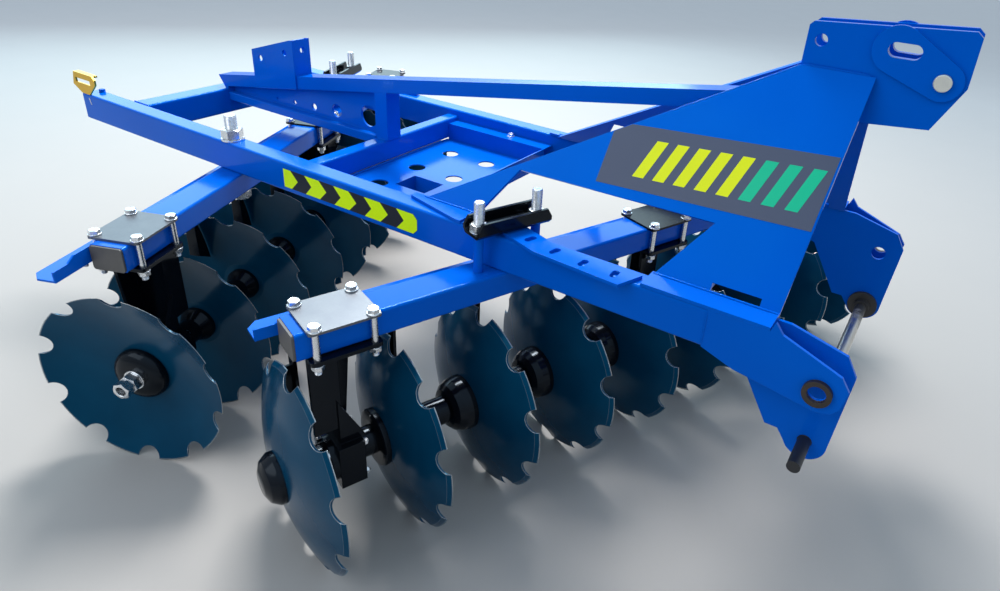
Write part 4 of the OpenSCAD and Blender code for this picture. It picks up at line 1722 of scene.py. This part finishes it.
@dataclass(frozen=True)
class LinkPin:
    """The top link pin with its flat head and its washer.

    Its profiles are radii and places from the middle of the machine towards the near side.
    """

    x: float = 2543.0
    z: float = 1176.0
    pin: Outline = ((0.0, -58.0), (11.0, -58.0), (12.5, -56.0), (12.5, 56.0), (0.0, 56.0))
    head: Outline = (
        (0.0, 46.0), (16.0, 46.0), (17.0, 47.0), (17.0, 56.4), (15.6, 57.9), (0.0, 57.9)
    )
    washer: float = 8.0
    washer_hole: float = 12.5
    washer_rim: float = 18.0
    washer_y: float = 46.0

    def build(self, box: Paintbox) -> None:
        """Makes the pin.

        Args:
            box: The finishes' materials.
        """
        draft = Draft()
        washer = ring(self.washer_hole, self.washer_rim, self.washer)
        draft.add(turned(self.pin, sides=36), at(self.x, 0, self.z, TO_MINUS_Y))
        draft.add(turned(self.head, sides=48), at(self.x, 0, self.z, TO_MINUS_Y))
        draft.add(washer, at(self.x, self.washer_y, self.z, TO_PLUS_Y))
        piece = draft.make("top_link_pin_dressed", Body.FRAME, box, [Finish.PIN])
        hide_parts("top_link_pin")


# The studio


@dataclass(frozen=True)
class Softbox:
    """One area lamp that looks at the machine."""

    name: str
    place: Point
    size: tuple[float, float]
    power: float
    colour: Colour = (1.0, 1.0, 1.0)


@dataclass(frozen=True)
class Studio:
    """Pale floor, soft lamps and the camera of the photograph."""

    camera_place: Point = (2584.9, -1629.7, 1468.5)
    yaw: float = 29.59
    pitch: float = -27.45
    roll: float = 4.35
    focal: float = 703.54
    centre: tuple[float, float] = (547.78, 250.25)
    frame: tuple[float, float] = (1000.0, 591.0)
    sensor: float = 36.0
    reach: float = 100.0
    floor_colour: Colour = (0.36, 0.335, 0.31)
    floor_far_painted_light: Colour = (0.6, 0.575, 0.55)
    floor_near: float = 1.3
    floor_fade: float = 4.5
    floor_size: float = 300.0
    floor_roughness: float = 0.85
    grain: Colour = (0.3, 0.3, 0.3)
    grain_share: float = 0.12
    zenith: Colour = (0.62, 0.8, 1.0)
    zenith_from: float = 0.75
    horizon: Colour = (0.5, 0.53, 0.57)
    aim: Point = (0.0, 0.0, 0.45)
    softboxes: tuple[Softbox, ...] = (
        Softbox("key", (-1.0, 1.3, 3.9), (1.4, 1.4), 250.0),
        Softbox("front", (-1.0, -3.2, 3.0), (2.8, 2.8), 43.0),
        Softbox("window", (-3.4, 2.9, 2.7), (6.6, 3.0), 150.0, (0.62, 0.9, 1.0)),
    )

    def build(self) -> None:
        """Makes floor, lamps, world and camera."""
        self._floor()
        self._lamps()
        self._world()
        self._camera()
        bpy.context.scene.view_settings.view_transform = "Standard"

    def _floor(self) -> None:
        """Makes a wide pale floor, painted paler away from the machine as painted light where the
        lamps give less.
        """
        graph = Graph(bpy.data.materials.new("studio_floor"))
        across, along = graph.axis("X"), graph.axis("Y")
        square = across * across + along * along
        away = graph.node("ShaderNodeMath", {"operation": "SQRT"}, {0: square})
        # Painted light: the floor's colour grows paler with distance from the machine, where the
        # lamps' light falls off.
        far_painted_light = ((away - self.floor_near) * (1.0 / self.floor_fade)).clamped()
        plain = graph.mix(far_painted_light, self.floor_colour, self.floor_far_painted_light)
        grain = graph.noise(scale=3.0, detail=5.0, roughness=0.6)
        tone = graph.mix(grain * self.grain_share, plain, self.grain)
        mesh = bpy.data.meshes.new("studio_floor")
        size = self.floor_size
        corners = [(-size, -size, 0), (size, -size, 0), (size, size, 0), (-size, size, 0)]
        mesh.from_pydata(corners, [], [(0, 1, 2, 3)])
        mesh.materials.append(graph.surface(Base_Color=tone, Roughness=self.floor_roughness))
        floor = bpy.data.objects.new("studio_floor", mesh)
        bpy.context.scene.collection.objects.link(floor)

    def _lamps(self) -> None:
        """Makes the soft lamps."""
        for box in self.softboxes:
            data = bpy.data.lights.new(box.name, "AREA")
            data.shape = "RECTANGLE"
            data.size, data.size_y = box.size
            data.energy = box.power
            data.color = box.colour
            lamp = bpy.data.objects.new(box.name, data)
            aim = (Vector(self.aim) - Vector(box.place)).to_track_quat("-Z", "Y")
            lamp.matrix_world = Matrix.Translation(box.place) @ aim.to_matrix().to_4x4()
            bpy.context.scene.collection.objects.link(lamp)

    def _world(self) -> None:
        """Makes a plain sky that is a little darker towards the horizon."""
        graph = Graph(bpy.data.worlds.new("studio_sky"))
        ways = graph.node("ShaderNodeTexCoord", output="Generated")
        rise = graph.node("ShaderNodeSeparateXYZ", None, {0: ways}, "Z")
        ramp = {"stops": [(0.0, self.horizon), (self.zenith_from, self.zenith)]}
        colour = graph.node("ShaderNodeValToRGB", ramp, {"Fac": rise}, "Color")
        sky = graph.node("ShaderNodeBackground", None, {"Color": colour})
        graph.node("ShaderNodeOutputWorld", None, {"Surface": sky})
        bpy.context.scene.world = graph.owner

    def _camera(self) -> None:
        """Sets the camera where the photograph was taken."""
        yaw, pitch, roll = (math.radians(v) for v in (self.yaw, self.pitch, self.roll))
        level = math.cos(pitch)
        ahead = Vector((-math.sin(yaw) * level, math.cos(yaw) * level, math.sin(pitch)))
        right = Vector((math.cos(yaw), math.sin(yaw), 0.0))
        up = right.cross(ahead)
        across = right * math.cos(roll) + up * math.sin(roll)
        over = up * math.cos(roll) - right * math.sin(roll)
        data = bpy.data.cameras.new("camera")
        width, height = self.frame
        data.sensor_fit = "HORIZONTAL"
        data.sensor_width = self.sensor
        data.lens = self.focal * data.sensor_width / width
        data.shift_x = -(self.centre[0] - width / 2) / width
        data.shift_y = (self.centre[1] - height / 2) / width
        data.clip_end = self.reach
        camera = bpy.data.objects.new("camera", data)
        turn = Matrix((across, over, -ahead)).transposed().to_4x4()
        place = (Vector(self.camera_place) - ORIGIN) * MM
        camera.matrix_world = Matrix.Translation(place) @ turn
        bpy.context.scene.collection.objects.link(camera)
        bpy.context.scene.camera = camera


def main() -> None:
    """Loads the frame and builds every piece."""
    logging.basicConfig(level=logging.INFO, format="%(name)s: %(message)s")
    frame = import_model()
    box = Paintbox()
    rail = Rail()
    Carcass().dress(frame["nodes"], box)
    for gang in GANGS:
        for part in (HangerBolts(), BearingBolts(), ScraperBolts(), ClampStuds(), AxleEnds()):
            part.build(gang, box)
    for part in (PivotBolts(), ChevronTape(), TowerPanel(), LampScrew()):
        part.build(rail, box)
    TrayFittings().build(box)
    FrameWelds().build(rail, box)
    LinkPin().build(box)
    Studio().build()


if __name__ == "__main__":
    main()
